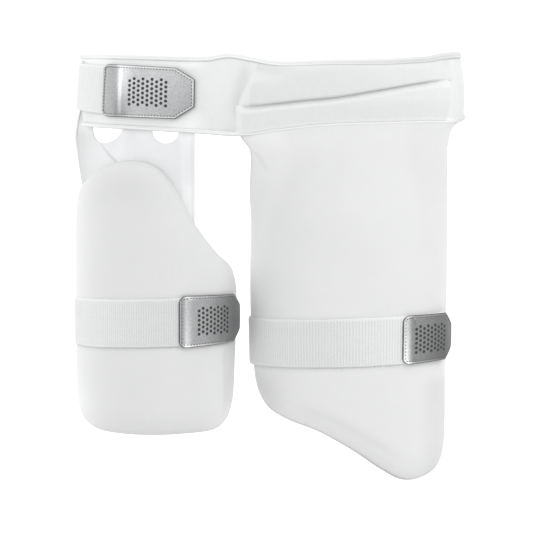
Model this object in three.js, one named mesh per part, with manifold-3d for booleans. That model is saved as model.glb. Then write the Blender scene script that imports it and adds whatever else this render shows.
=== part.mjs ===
// Combined waist and thigh guard for sport: two foam pads hung from a padded belt, in the form it has when worn.
// Millimetres and degrees. +Z is up, -Y is the front and +X is the wearer's left. The origin is the middle of
// the waist opening, level with the middle of the belt's front.
import * as THREE from "three";
import { mergeVertices } from "three/addons/utils/BufferGeometryUtils.js";
import Module from "manifold-3d";

const { clamp, degToRad, euclideanModulo, lerp, smoothstep } = THREE.MathUtils;

// Driving sizes: the waist oval, the belt and its tapes, the elastic webbing and the hook tabs
const WAIST = { halfWidth: 197, halfDepth: 122, squareness: 2.4, hipFlare: 0.07 };
const GAP = 0.5;
const CLOTH = 1.8;
const BELT = { leftLow: -218, leftHigh: -266, right: 268, lining: 2.6, edge: 5, swell: 3.4 };
const BELT_PRESSED = { from: -62, to: -92, share: 0.75 };
const BINDING = { height: 5, thick: 6.6, roundTo: 70 };
const HIP_PAD = { rise: 7.2, rim: 1, bevel: 9 };
const ELASTIC = { width: 50, thick: 2, overBelt: 9.1, onBody: 0.3 };
const TAB = { halfWidth: 26.5, taper: 1.8, corner: 8, chamferRun: 0.19, chamferDrop: 12, edge: 2.2, crown: 1.2 };
const PAD_RIM = 0.3;

// Thigh ovals: middle of the oval, half-widths and front half-depths of a pad's inner and outer face, how much
// the oval narrows on each side towards the knee, the half-depth behind, where only the strap goes round, and
// the width of the pad's bevelled border
const INNER_LEG = { x: -121.7, y: -42, width: [78.2, 85.5], depth: [69.8, 88], taper: 1.6, back: 82, border: 27 };
const OUTER_LEG = { x: 81.3, y: -41, width: [97, 104.5], depth: [68, 89], taper: 3, back: 92, border: 30 };
const TAPER = { from: -190, to: -290 };
const OUTER_WRAP = 97;

// The belt's long edges, by distance along the waist oval from the middle of the front
const BELT_EDGES = [
  { along: -266, top: 48.9, bottom: -26.6 },
  { along: -198, top: 44.4, bottom: -31.6 },
  { along: -125, top: 39.6, bottom: -36.2 },
  { along: -67, top: 37.8, bottom: -40 },
  { along: -44, top: 41.8, bottom: -41.6 },
  { along: -22, top: 38, bottom: -41 },
  { along: 6, top: 33.4, bottom: -36.6 },
  { along: 54, top: 34.6, bottom: -31 },
  { along: 116, top: 35.8, bottom: -28.2 },
  { along: 151, top: 38.5, bottom: -27.2 },
  { along: 185, top: 44.2, bottom: -26.2 },
  { along: 216, top: 46.8, bottom: -25 },
  { along: 268, top: 49.5, bottom: -21 },
];

// The crease between the two moulded hip pads
const HIP_CREASE = [
  { along: -40, z: -12 },
  { along: -21, z: -11.9 },
  { along: 27, z: -6.9 },
  { along: 65, z: -2.7 },
  { along: 102, z: 4.3 },
  { along: 148, z: 13.1 },
  { along: 170, z: 16.3 },
  { along: 195, z: 17.4 },
];

// Mid-height of the waist elastic, from inside the belt's right end, round the back, to the left front
const ELASTIC_RUN = [
  { along: -805, z: 14 },
  { along: -640, z: 17 },
  { along: -420, z: 16 },
  { along: -262, z: 12.8 },
  { along: -178, z: 7.6 },
  { along: -96, z: 2.4 },
];
const ELASTIC_STEP = { from: -352, to: -274 };

// The side edges of the outer pad's neck where it flares into the belt
const NECK = [
  { z: -190, left: -26, right: 196 },
  { z: -58, left: -21.5, right: 193 },
  { z: -44, left: -30, right: 195 },
  { z: -36, left: -32, right: 199 },
  { z: -31, left: -33, right: 206 },
  { z: -26, left: -34, right: 222 },
];
const NECK_TURN = { from: -45, to: -185, thick: 6 };
const NECK_FILL = { from: -45, to: -130, least: 0.35 };

// Pad outlines, as turn round the thigh and height
const INNER_OUTLINE = [
  [-14, -67],
  [-38, -72],
  [-60, -86],
  [-86, -106],
  [-97, -150],
  [-98, -220],
  [-98, -280],
  [-85, -322],
  [-55, -342],
  [-22, -348],
  [22, -348],
  [58, -343],
  [80, -318],
  [89, -268],
  [97, -218],
  [80, -184],
  [52, -163],
  [31, -130],
  [19, -100],
  [4, -75],
];
const OUTER_OUTLINE = [
  [-97, -42.6],
  [-97, -50],
  [-97, -58],
  [-97, -80],
  [-97, -140],
  [-97, -200],
  [-95, -252],
  [-84, -284],
  [-76, -306],
  [-60, -326],
  [-41, -338.5],
  [-20, -348.5],
  [0, -366.5],
  [18, -386],
  [34, -398.5],
  [53, -396.5],
  [75, -384],
  [91, -362],
  [97, -320],
  [97, -250],
  [97, -150],
  [97, -80],
  [97, -54],
  [97, -40],
  [97, -26],
];
const INNER_MIDDLE = [-8, -225];
const OUTER_MIDDLE = [12, -200];

// The hanger panel: its ends on the waist oval and on the thigh, its heights, the outward curl of its free left
// edge below the belt, and its two holes, the first of them wider than it is high
const HANGER = { waist: [-262, -79], thigh: [-100, 33], top: 12, bottom: -190, turnFrom: -38, turnTo: -95 };
const HANGER_CURL = { reach: 12.5, start: -222, width: 40, z: -44, spread: 44, under: [-14, -32] };
const HANGER_HOLES = [
  { along: -182, z: -28.5, radius: 20, stretch: 1.2 },
  { along: -109, z: -35, radius: 14.2, stretch: 1 },
];

// Strap heights at the front of each thigh, how much the outer side of the loop rises, and the turn at which the
// strap ends under its tab. The other end goes round the back and tucks inside the pad's far edge.
const INNER_STRAP = { z: -233.2, tilt: 2.4, end: 66 };
const OUTER_STRAP = { z: -253.4, tilt: 3.5, end: 70 };
const STRAP_TUCK = { from: -195, to: -255, end: -282, under: 1 };
const WAIST_TAB = { from: -178.5, to: -77 };
const INNER_TAB = { from: 18, to: 79 };
const OUTER_TAB = { from: 28.5, to: 75.5 };

// Mesh steps: columns along and rows across each wall, and points round a pad's outline
const STEPS = { belt: 36, hip: 16, elastic: 60, panel: 26, strap: 56, innerPad: 44, outerPad: 62, topEdge: 14 };
const OUTER_RINGS = [1, 0.97, 0.92, 0.85, 0.75, 0.6, 0.4, 0.2];
const LINING_RINGS = [1, 0.92, 0.84, 0.74, 0.5, 0.25];
const TAB_STATIONS = [0, 0.015, 0.05, 0.12, 0.2, 0.3, 0.4, 0.5, 0.6, 0.7, 0.76, 0.81, 0.9, 1];

// Smooth value of one column of a table whose rows rise in the key column
function lookup(rows, key, column, at) {
  const last = rows.length - 1;
  const x = clamp(at, rows[0][key], rows[last][key]);
  let i = 0;
  while (i < last - 1 && x > rows[i + 1][key]) i++;
  const slope = (k) => {
    const before = rows[Math.max(k - 1, 0)];
    const after = rows[Math.min(k + 1, last)];
    return (after[column] - before[column]) / (after[key] - before[key]);
  };
  const span = rows[i + 1][key] - rows[i][key];
  const t = (x - rows[i][key]) / span;
  const rise = rows[i + 1][column] - rows[i][column];
  const bend = (1 - t) * (slope(i) * span - rise) - t * (slope(i + 1) * span - rise);
  return rows[i][column] + t * rise + t * (1 - t) * bend;
}

// 0 before the first value and 1 past the second, whichever way they run
function ease(at, from, to) {
  return from < to ? smoothstep(at, from, to) : 1 - smoothstep(at, to, from);
}

// Spacing of 0 to 1 that is fine at both ends
function fineEnds(t) {
  return (1 - Math.cos(Math.PI * t)) / 2;
}

// The waist: a slightly squared oval, from the middle of the back round the right side of the body and the front
class WaistOval extends THREE.Curve {
  getPoint(t, target = new THREE.Vector3()) {
    const angle = (2 * t - 1) * Math.PI;
    const bow = (v) => Math.sign(v) * Math.abs(v) ** (2 / WAIST.squareness);
    return target.set(WAIST.halfWidth * bow(Math.sin(angle)), -WAIST.halfDepth * bow(Math.cos(angle)), 0);
  }
}
const waistOval = new WaistOval();
waistOval.arcLengthDivisions = 1440;
const waistLength = waistOval.getLength();

// A point at a distance along the waist oval from the front's middle, standing out from the body
function onWaist(along, z, out) {
  const u = euclideanModulo(0.5 + along / waistLength, 1);
  const p = waistOval.getPointAt(u);
  const t = waistOval.getTangentAt(u);
  const reach = out - WAIST.hipFlare * z;
  return new THREE.Vector3(p.x + t.y * reach, p.y - t.x * reach, z);
}

// A point on a thigh oval, by its turn from the front
function onThigh(leg, turn, z, width, depth) {
  const angle = degToRad(turn);
  const side = width - leg.taper * ease(z, TAPER.from, TAPER.to);
  return new THREE.Vector3(leg.x + side * Math.sin(angle), leg.y - depth * Math.cos(angle), z);
}

// A closed solid from its points and its triangles, which turn anticlockwise seen from outside
function solid(points, triangles) {
  const geometry = new THREE.BufferGeometry().setFromPoints(points);
  geometry.setIndex(triangles);
  return geometry;
}

// A wall between two faces, each a function of u along it (left to right) and v across it (bottom to top)
function wall(columns, rows, outer, inner) {
  const lines = columns + 1;
  const across = rows + 1;
  const points = [];
  const triangles = [];
  for (const face of [outer, inner]) {
    for (let i = 0; i < lines; i++) {
      for (let j = 0; j < across; j++) points.push(face(i / columns, j / rows));
    }
  }
  const at = (side, i, j) => (side * lines + i) * across + j;
  const quad = (a, b, c, d) => triangles.push(a, b, c, a, c, d);
  for (let i = 0; i < columns; i++) {
    for (let j = 0; j < rows; j++) {
      quad(at(0, i, j), at(0, i + 1, j), at(0, i + 1, j + 1), at(0, i, j + 1));
      quad(at(1, i, j), at(1, i, j + 1), at(1, i + 1, j + 1), at(1, i + 1, j));
    }
    quad(at(0, i, 0), at(1, i, 0), at(1, i + 1, 0), at(0, i + 1, 0));
    quad(at(0, i, rows), at(0, i + 1, rows), at(1, i + 1, rows), at(1, i, rows));
  }
  for (let j = 0; j < rows; j++) {
    quad(at(0, 0, j), at(0, 0, j + 1), at(1, 0, j + 1), at(1, 0, j));
    quad(at(0, columns, j), at(1, columns, j), at(1, columns, j + 1), at(0, columns, j + 1));
  }
  return solid(points, triangles);
}

// The belt

const beltEdge = (side, along) => lookup(BELT_EDGES, "along", side, along);

// The lowest and highest height of the belt's padded wall, inside its two bindings
function beltSpan(along) {
  const taken = BINDING.height + GAP;
  return [beltEdge("bottom", along) + taken, beltEdge("top", along) - taken];
}

// How far the belt's face stands out from the body at a place. The elastic presses its swell down on the left.
function beltFace(along, z) {
  const [low, high] = beltSpan(along);
  const v = clamp((z - low) / (high - low), 0, 1);
  const left = 1 - BELT_PRESSED.share * ease(along, BELT_PRESSED.from, BELT_PRESSED.to);
  return BELT.lining + BELT.edge + BELT.swell * left * Math.sin(Math.PI * v);
}

function waistBand() {
  const rows = 6;
  const face = (out) => (u, v) => {
    const along = lerp(lerp(BELT.leftLow, BELT.leftHigh, v), BELT.right, u);
    const z = lerp(...beltSpan(along), v);
    return onWaist(along, z, out(along, z));
  };
  return wall(STEPS.belt, rows, face(beltFace), face(() => BELT.lining));
}

// A satin tape folded over one long edge of the belt, with a rounded section
function binding(side) {
  const rows = 4;
  const middle = BELT.lining + BINDING.thick / 2;
  const [left, inward] = side === "top" ? [BELT.leftHigh, -1] : [BELT.leftLow, 1];
  const face = (outward) => (u, v) => {
    const along = lerp(left, BELT.right, u);
    const angle = degToRad(lerp(-BINDING.roundTo, BINDING.roundTo, v));
    const z = beltEdge(side, along) + (inward + Math.sin(angle)) * (BINDING.height / 2);
    return onWaist(along, z, middle + outward * (BINDING.thick / 2) * Math.cos(angle));
  };
  return wall(STEPS.belt, rows, face(1), face(-1));
}

// A moulded pad on the belt's right half: bevelled all round, with a slanted left end
function hipPad({ foot, head, right, low, high }) {
  const rows = 6;
  const face = (raised) => (u, v) => {
    const f = fineEnds(v);
    const left = lerp(foot, head, f);
    const along = lerp(left, right, fineEnds(u));
    const [bottom, top] = [low(along), high(along)];
    const z = lerp(bottom, top, f);
    const inset = Math.min(along - left, right - along, z - bottom, top - z);
    const slope = Math.sin((Math.PI / 2) * clamp(inset / HIP_PAD.bevel, 0, 1));
    const height = raised ? lerp(HIP_PAD.rim, HIP_PAD.rise, slope) : 0;
    return onWaist(along, z, beltFace(along, z) + GAP + height);
  };
  return wall(STEPS.hip, rows, face(true), face(false));
}

const crease = (along) => lookup(HIP_CREASE, "along", "z", along);
const hipPadUpper = () =>
  hipPad({ foot: -33, head: -17, right: 194, low: (s) => crease(s) + GAP, high: (s) => beltSpan(s)[1] - GAP });
const hipPadLower = () =>
  hipPad({ foot: -36, head: -36, right: 192, low: (s) => beltSpan(s)[0] + GAP, high: (s) => crease(s) - GAP });

// The waist elastic and the hook tabs

// A point of the waist elastic: it lies on the body at the back and over the belt's left end in front
function onElastic(along, across, out) {
  const step = ease(along, ELASTIC_STEP.from, ELASTIC_STEP.to);
  const lift = lerp(ELASTIC.onBody, ELASTIC.overBelt, step);
  return onWaist(along, lookup(ELASTIC_RUN, "along", "z", along) + across, lift + out);
}

function waistElastic() {
  const ends = [ELASTIC_RUN[0].along, ELASTIC_RUN[ELASTIC_RUN.length - 1].along];
  const face = (out) => (u, v) => onElastic(lerp(...ends, u), (v - 0.5) * ELASTIC.width, out);
  return wall(STEPS.elastic, 1, face(ELASTIC.thick), face(0));
}

// A hook tab that lies on elastic: round corners where it is sewn on, chamfered corners at its free end
function hookTab({ from, to }, length, place) {
  const rows = 4;
  const columns = TAB_STATIONS.length - 1;
  const halfWidth = (f) => {
    const sewn = Math.min(f * length, TAB.corner);
    const round = TAB.corner - Math.sqrt(TAB.corner ** 2 - (TAB.corner - sewn) ** 2);
    const cut = TAB.chamferDrop * clamp(1 - (1 - f) / TAB.chamferRun, 0, 1);
    return TAB.halfWidth - TAB.taper * f - round - cut;
  };
  const face = (raised) => (u, v) => {
    const f = TAB_STATIONS[Math.round(u * columns)];
    const crown = TAB.crown * Math.sin(Math.PI * v) * Math.sin(Math.PI * f) ** 0.5;
    const out = ELASTIC.thick + GAP + (raised ? TAB.edge + crown : 0);
    return place(lerp(from, to, f), (2 * v - 1) * halfWidth(f), out);
  };
  return wall(columns, rows, face(true), face(false));
}

const waistTab = () => hookTab(WAIST_TAB, WAIST_TAB.to - WAIST_TAB.from, onElastic);

// Thigh straps

// A point of a thigh strap: over the pad in front, round the bare thigh behind, and inside the pad's far edge
function onStrap(leg, strap, turn, across, out) {
  const z = strap.z + strap.tilt * Math.sin(degToRad(turn)) + across;
  const tuck = ease(turn, STRAP_TUCK.from, STRAP_TUCK.to);
  const inside = -STRAP_TUCK.under - ELASTIC.thick;
  const width = lerp(leg.width[1] + GAP, leg.width[0] + inside, tuck);
  const front = lerp(leg.depth[1] + GAP, leg.depth[0] + inside, tuck);
  const depth = Math.cos(degToRad(turn)) < 0 ? leg.back : front;
  return onThigh(leg, turn, z, width + out, depth + out);
}

function thighStrap(leg, strap) {
  const place = (u) => lerp(STRAP_TUCK.end, strap.end, u);
  const face = (out) => (u, v) => onStrap(leg, strap, place(u), (v - 0.5) * ELASTIC.width, out);
  return wall(STEPS.strap, 1, face(ELASTIC.thick), face(0));
}

function thighTab(leg, strap, tab) {
  const length = degToRad(tab.to - tab.from) * leg.depth[1];
  return hookTab(tab, length, (turn, across, out) => onStrap(leg, strap, turn, across, out));
}

// Thigh pads

// Least distance from a place to an outline, with turns measured along the thigh
function insetFrom(outline, millimetresPerDegree, [turn, z]) {
  const flat = ([t, h]) => new THREE.Vector3(t * millimetresPerDegree, h, 0);
  const spot = flat([turn, z]);
  const nearest = new THREE.Vector3();
  let least = Infinity;
  for (let i = 1; i < outline.length; i++) {
    new THREE.Line3(flat(outline[i - 1]), flat(outline[i])).closestPointToPoint(spot, true, nearest);
    least = Math.min(least, nearest.distanceTo(spot));
  }
  return least;
}

// A pad with a closed outline: rings run in from the outline to the middle, on a crowned face and on a lining.
// Its thickness grows from the free edge over the border.
function thighPad({ leg, outline, free, middle, place }) {
  const count = outline.length;
  const reach = degToRad(1) * ((leg.width[0] + leg.depth[0]) / 2);
  const points = [];
  const triangles = [];
  const addFace = (rings, crowned) => {
    const first = points.length;
    const put = (spot) => {
      const inset = clamp(insetFrom(free, reach, spot) / leg.border, 0, 1);
      const crown = lerp(PAD_RIM, 1, Math.sqrt(1 - (1 - inset) ** 2));
      points.push(place(...spot, crowned ? crown : 0));
    };
    for (const ring of rings) {
      for (const spot of outline) put([lerp(middle[0], spot[0], ring), lerp(middle[1], spot[1], ring)]);
    }
    put(middle);
    const facing = (a, b, c) => (crowned ? triangles.push(a, b, c) : triangles.push(a, c, b));
    for (let i = 0; i < count; i++) {
      const next = (i + 1) % count;
      for (let r = 0; r + 1 < rings.length; r++) {
        const [a, b] = [first + r * count, first + (r + 1) * count];
        facing(a + i, a + next, b + next);
        facing(a + i, b + next, b + i);
      }
      const core = first + (rings.length - 1) * count;
      facing(core + i, core + next, first + rings.length * count);
    }
    return first;
  };
  const face = addFace(OUTER_RINGS, true);
  const lining = addFace(LINING_RINGS, false);
  for (let i = 0; i < count; i++) {
    const next = (i + 1) % count;
    triangles.push(face + i, lining + i, lining + next, face + i, lining + next, face + next);
  }
  return solid(points, triangles);
}

function innerPad() {
  const corners = INNER_OUTLINE.map(([turn, z]) => new THREE.Vector3(turn, z, 0));
  const curve = new THREE.CatmullRomCurve3(corners, true, "catmullrom");
  const ring = curve.getPoints(STEPS.innerPad).map((p) => [p.x, p.y]);
  const place = (turn, z, crown) =>
    onThigh(INNER_LEG, turn, z, lerp(...INNER_LEG.width, crown), lerp(...INNER_LEG.depth, crown));
  return thighPad({ leg: INNER_LEG, outline: ring.slice(0, -1), free: ring, middle: INNER_MIDDLE, place });
}

// Where a turn round the outer thigh meets the waist oval, at a height of the neck
function neckAlong(turn, z) {
  const share = (turn + OUTER_WRAP) / (2 * OUTER_WRAP);
  return lerp(lookup(NECK, "z", "left", z), lookup(NECK, "z", "right", z), share);
}

// The outer pad follows the waist under the belt and turns into the thigh's oval below its neck
function onOuterPad(turn, z, crown) {
  const fill = crown * lerp(NECK_FILL.least, 1, ease(z, NECK_FILL.from, NECK_FILL.to));
  const thigh = onThigh(OUTER_LEG, turn, z, lerp(...OUTER_LEG.width, fill), lerp(...OUTER_LEG.depth, fill));
  const waist = onWaist(neckAlong(turn, z), z, BELT.lining + NECK_TURN.thick * crown);
  return waist.lerp(thigh, ease(z, NECK_TURN.from, NECK_TURN.to));
}

function outerPad() {
  const corners = OUTER_OUTLINE.map(([turn, z]) => new THREE.Vector2(turn, z));
  const free = new THREE.SplineCurve(corners).getPoints(STEPS.outerPad - STEPS.topEdge).map((p) => [p.x, p.y]);
  const top = [];
  for (let i = 1; i < STEPS.topEdge; i++) {
    const turn = lerp(OUTER_WRAP, -OUTER_WRAP, i / STEPS.topEdge);
    let z = beltEdge("bottom", 0);
    for (let pass = 0; pass < 3; pass++) z = beltEdge("bottom", neckAlong(turn, z)) - GAP;
    top.push([turn, z]);
  }
  return thighPad({ leg: OUTER_LEG, outline: [...free, ...top], free, middle: OUTER_MIDDLE, place: onOuterPad });
}

// Hanger panel

function onHanger(share, z, out) {
  const along = lerp(...HANGER.waist, share);
  const curl = ease(along, HANGER_CURL.start, HANGER_CURL.start - HANGER_CURL.width);
  const level = Math.exp(-(((z - HANGER_CURL.z) / HANGER_CURL.spread) ** 2)) * ease(z, ...HANGER_CURL.under);
  const waist = onWaist(along, z, ELASTIC.onBody + HANGER_CURL.reach * curl * level + out);
  const [width, depth] = [INNER_LEG.width[0] - CLOTH - GAP, INNER_LEG.depth[0] - CLOTH - GAP];
  const thigh = onThigh(INNER_LEG, lerp(...HANGER.thigh, share), z, width - CLOTH + out, depth - CLOTH + out);
  return waist.lerp(thigh, ease(z, HANGER.turnFrom, HANGER.turnTo));
}

const wasm = await Module();
wasm.setup();

function toManifold(geometry) {
  const bare = geometry.clone();
  bare.deleteAttribute("normal");
  bare.deleteAttribute("uv");
  const merged = mergeVertices(bare);
  const vertProperties = new Float32Array(merged.attributes.position.array);
  const triVerts = new Uint32Array(merged.index.array);
  return new wasm.Manifold(new wasm.Mesh({ numProp: 3, vertProperties, triVerts }));
}

function fromManifold(body) {
  const mesh = body.getMesh();
  const geometry = new THREE.BufferGeometry();
  geometry.setAttribute("position", new THREE.BufferAttribute(mesh.vertProperties, 3));
  geometry.setIndex(new THREE.BufferAttribute(mesh.triVerts, 1));
  return geometry;
}

// The panel with its two holes punched square to the cloth
function hangerPanel() {
  const rows = 12;
  const punch = { length: 40, sides: 20 };
  const face = (out) => (u, v) => onHanger(u, lerp(HANGER.bottom, HANGER.top, v), out);
  let body = toManifold(wall(STEPS.panel, rows, face(CLOTH), face(0)));
  for (const hole of HANGER_HOLES) {
    const at = onWaist(hole.along, hole.z, 0);
    const square = onWaist(hole.along, hole.z, 1).sub(at);
    const cutter = new THREE.CylinderGeometry(hole.radius, hole.radius, punch.length, punch.sides);
    cutter.scale(hole.stretch, 1, 1);
    cutter.applyQuaternion(new THREE.Quaternion().setFromUnitVectors(new THREE.Vector3(0, 1, 0), square));
    cutter.translate(at.x, at.y, at.z);
    body = body.subtract(toManifold(cutter));
  }
  return fromManifold(body);
}

// Finishes
const knit = { color: 0xf0f1f2, roughness: 0.8, metalness: 0 };
const brushed = { color: 0xf1f2f3, roughness: 0.95, metalness: 0 };
const satin = { color: 0xf4f5f7, roughness: 0.5, metalness: 0 };
const webbing = { color: 0xeeeff1, roughness: 0.85, metalness: 0 };
const silver = { color: 0xa9abae, roughness: 0.4, metalness: 0.6 };

// The whole guard
const guard = new THREE.Group();
guard.name = "thigh_guard";

function add(name, geometry, finish) {
  const mesh = new THREE.Mesh(geometry, new THREE.MeshStandardMaterial(finish));
  mesh.name = name;
  guard.add(mesh);
}

add("waist_band", waistBand(), brushed);
add("band_binding_top", binding("top"), satin);
add("band_binding_bottom", binding("bottom"), satin);
add("hip_pad_upper", hipPadUpper(), knit);
add("hip_pad_lower", hipPadLower(), knit);
add("waist_elastic", waistElastic(), webbing);
add("waist_tab", waistTab(), silver);
add("hanger_panel", hangerPanel(), knit);
add("inner_pad", innerPad(), knit);
add("inner_strap", thighStrap(INNER_LEG, INNER_STRAP), webbing);
add("inner_tab", thighTab(INNER_LEG, INNER_STRAP, INNER_TAB), silver);
add("outer_pad", outerPad(), knit);
add("outer_strap", thighStrap(OUTER_LEG, OUTER_STRAP), webbing);
add("outer_tab", thighTab(OUTER_LEG, OUTER_STRAP, OUTER_TAB), silver);

export default guard;
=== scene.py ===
import bpy
import numpy as np
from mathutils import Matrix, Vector


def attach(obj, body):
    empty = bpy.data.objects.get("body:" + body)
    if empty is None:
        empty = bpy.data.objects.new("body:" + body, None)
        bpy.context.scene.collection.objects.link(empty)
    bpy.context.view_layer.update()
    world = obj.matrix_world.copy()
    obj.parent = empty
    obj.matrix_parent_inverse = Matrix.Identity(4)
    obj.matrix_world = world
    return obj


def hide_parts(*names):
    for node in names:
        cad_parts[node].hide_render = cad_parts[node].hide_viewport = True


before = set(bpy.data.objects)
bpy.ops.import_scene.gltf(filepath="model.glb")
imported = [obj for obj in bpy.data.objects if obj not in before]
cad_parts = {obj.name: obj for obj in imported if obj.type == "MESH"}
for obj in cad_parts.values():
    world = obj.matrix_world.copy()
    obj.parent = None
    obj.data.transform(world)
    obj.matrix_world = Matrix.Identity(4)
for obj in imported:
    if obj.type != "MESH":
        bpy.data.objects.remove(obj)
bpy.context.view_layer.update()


# The belt's padded wall
# White brushed loop cloth laminated to thin foam, cut as one long curved strip that goes round the front
# of the waist. Its two long edges are closed by sewn tapes, and its left end lies under the elastic.
MM = 0.001
WAIST = dict(half_width=197, half_depth=122, squareness=2.4, hip_flare=0.07)
BELT = dict(
    left_low=-222,
    left_high=-275,
    right=268,
    lining=2.6,
    edge=5,
    swell=3.4,
    taken=5.5,
    thin_end=1,
    rounding=2.5,
)
BELT_PRESSED = dict(start=-62, end=-92, share=0.75)
# The dip's dark is a painted shadow left of the hip pads, laid on the rows that shaded names.
BELT_DIP = dict(low=-43, high=-24, depth=2.2, width=7, fade=(0.98, 0.7), dark=0.12, shaded=(0.2, 0.45))
BELT_EDGES = dict(
    along=[-275, -198, -125, -67, -44, -22, 6, 54, 116, 151, 170, 187, 216, 238, 268],
    top=[51, 46.6, 42.5, 40.8, 44, 40.5, 35.5, 36.4, 37.4, 39.8, 41.7, 45, 48.1, 49.3, 50.8],
    bottom=[-25.8, -31.6, -36.2, -40, -41.8, -41.6, -37.4, -32, -29.6, -28.2, -27.7, -27.4, -26, -22.4, -19],
)
# The hem's dark is painted shade in its groove.
BELT_HEM = dict(width=5, rise=0.7, ramp=0.6, groove=0.5, groove_width=0.8, dark=0.16, dark_width=0.9)
BELT_FLARE = dict(start=-205, end=-262, low=36.5, high=42, reach=4.4)
BELT_RIGHT = dict(start=212, end=246, swell=0.7, reach=1.3)
BELT_PUCKER = dict(width=0.12, rise=0.22)
# Painted light and shade on the belt: paler along its top and bottom beside the elastic and tab, darker at
# the right end and on the lower half of the left end.
BELT_PAINTED_LIGHT = [
    (0.13, dict(along=(-60, -85), up=(0.32, 0.15))),
    (0.16, dict(along=(-60, -85), up=(0.8, 0.9))),
    (-0.07, dict(along=(190, 220))),
    (-0.12, dict(along=(-165, -205), up=(0.5, 0.3))),
]
BELT_GRID = (480, 60)
# Painted shadow: a dark line on the belt beside each tape, where the tape's step would shade it.
BELT_SEAM_SHADOW = dict(
    top=dict(inset=6.3, width=0.9, dark=0.36, left=0.45, right=1, fade=(-160, -60)),
    bottom=dict(inset=4, width=0.8, dark=0.4, left=0.6, right=0.06, fade=(-40, 30)),
)
PUCKER_WAVES = [2.3, 5.9, 13.7]
OVAL_STEPS = 3001
LOOP_WHITE = [(0.8, 0.808, 0.806, 1), (0.84, 0.848, 0.846, 1)]


def lerp(start, end, share):
    """The value a share of the way from start to end."""
    return start + (end - start) * share


def ease(at, start, end):
    """A smooth step: 0 up to start and 1 past end, whichever way they run, with level ends."""
    t = np.clip((at - start) / (end - start), 0, 1)
    return t * t * (3 - 2 * t)


def lump(at, middle, width):
    """A bell curve that is 1 at its middle."""
    return np.exp(-(((at - middle) / width) ** 2))


def lookup(table, key, column, at):
    """One column of a short table as a smooth curve: a cubic between each two rows, whose slope at a row is
    the slope of the line that joins its two neighbours."""
    x = np.asarray(table[key], float)
    y = np.asarray(table[column], float)
    before = np.maximum(np.arange(len(x)) - 1, 0)
    after = np.minimum(np.arange(len(x)) + 1, len(x) - 1)
    slope = (y[after] - y[before]) / (x[after] - x[before])
    at = np.clip(at, x[0], x[-1])
    i = np.clip(np.searchsorted(x, at, side="right") - 1, 0, len(x) - 2)
    span = x[i + 1] - x[i]
    rise = y[i + 1] - y[i]
    t = (at - x[i]) / span
    bend = (1 - t) * (slope[i] * span - rise) - t * (slope[i + 1] * span - rise)
    return y[i] + t * rise + t * (1 - t) * bend


def bow(value, power):
    """A value's size raised to a power, with its sign kept."""
    return np.sign(value) * np.abs(value) ** power


def walk_oval():
    """The waist oval x = a bow(sin t), y = -b bow(cos t), where bow raises a size to 2 / squareness and keeps
    its sign. Gives the distance along it from the middle of the front, its points and its directions."""
    turn = np.linspace(-np.pi, np.pi, 2 * OVAL_STEPS - 1)
    power = 2 / WAIST["squareness"]
    x = WAIST["half_width"] * bow(np.sin(turn), power)
    y = -WAIST["half_depth"] * bow(np.cos(turn), power)
    run = np.concatenate([[0], np.cumsum(np.hypot(np.diff(x), np.diff(y)))])
    run -= run[-1] / 2
    even = np.linspace(run[0], run[-1], OVAL_STEPS)
    x, y = np.interp(even, run, x), np.interp(even, run, y)
    dx, dy = np.gradient(x, even), np.gradient(y, even)
    size = np.hypot(dx, dy)
    return even, x, y, dx / size, dy / size


OVAL_RUN, OVAL_X, OVAL_Y, OVAL_DX, OVAL_DY = walk_oval()


def on_waist(along, z, out):
    """The point at a distance along the waist oval and a height, moved out square to the oval. The body
    widens downwards by the hip flare."""
    along, z, out = np.broadcast_arrays(along, z, out)
    half = OVAL_RUN[-1]
    run = (along + half) % (2 * half) - half
    x, y = np.interp(run, OVAL_RUN, OVAL_X), np.interp(run, OVAL_RUN, OVAL_Y)
    dx, dy = np.interp(run, OVAL_RUN, OVAL_DX), np.interp(run, OVAL_RUN, OVAL_DY)
    reach = out - WAIST["hip_flare"] * z
    return np.stack([x + dy * reach, y - dx * reach, z], -1)


def belt_edge(side, along):
    """Height of the belt's top or bottom edge."""
    return lookup(BELT_EDGES, "along", side, along)


def belt_face(along, z):
    """How far the belt's face stands out: a foam edge plus a half wave of swell between its two tapes. The
    waist elastic presses the swell down on the left, and it flattens towards the right end."""
    low = belt_edge("bottom", along) + BELT["taken"]
    high = belt_edge("top", along) - BELT["taken"]
    v = np.clip((z - low) / (high - low), 0, 1)
    pressed = 1 - BELT_PRESSED["share"] * ease(along, BELT_PRESSED["start"], BELT_PRESSED["end"])
    pressed = pressed * lerp(1, BELT_RIGHT["swell"], ease(along, BELT_RIGHT["start"], BELT_RIGHT["end"]))
    return BELT["lining"] + BELT["edge"] + BELT["swell"] * np.sin(np.pi * v) * pressed


def belt_flare(along, z):
    """How far the belt turns away from the body where nothing holds it: at its upper left corner, above the
    elastic, and at its right end."""
    left = ease(along, BELT_FLARE["start"], BELT_FLARE["end"])
    right = BELT_RIGHT["reach"] * ease(along, BELT_RIGHT["start"], BELT_RIGHT["end"])
    return BELT_FLARE["reach"] * left * ease(z, BELT_FLARE["low"], BELT_FLARE["high"]) + right


def seam_shadow_strength(side, along):
    """How dark the painted shadow is where a tape meets the belt: faint at the left of the top one and at
    the right of the bottom one, where the cloth lies flush with it."""
    sewn = BELT_SEAM_SHADOW[side]
    return lerp(sewn["left"], sewn["right"], ease(along, *sewn["fade"]))


def painted_seam_shadow(side, along, inset):
    """Drop of tone in that painted shadow line, at a distance in from the belt's edge."""
    sewn = BELT_SEAM_SHADOW[side]
    return sewn["dark"] * lump(inset, sewn["inset"], sewn["width"]) * seam_shadow_strength(side, along)


def patches(rows, **places):
    """Sum of soft patches of painted light and shade: each row's strength times a smooth step for each place
    that it names.
    """
    total = 0
    for strength, spans in rows:
        for name, span in spans.items():
            strength = strength * ease(places[name], *span)
        total = total + strength
    return total


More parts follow.
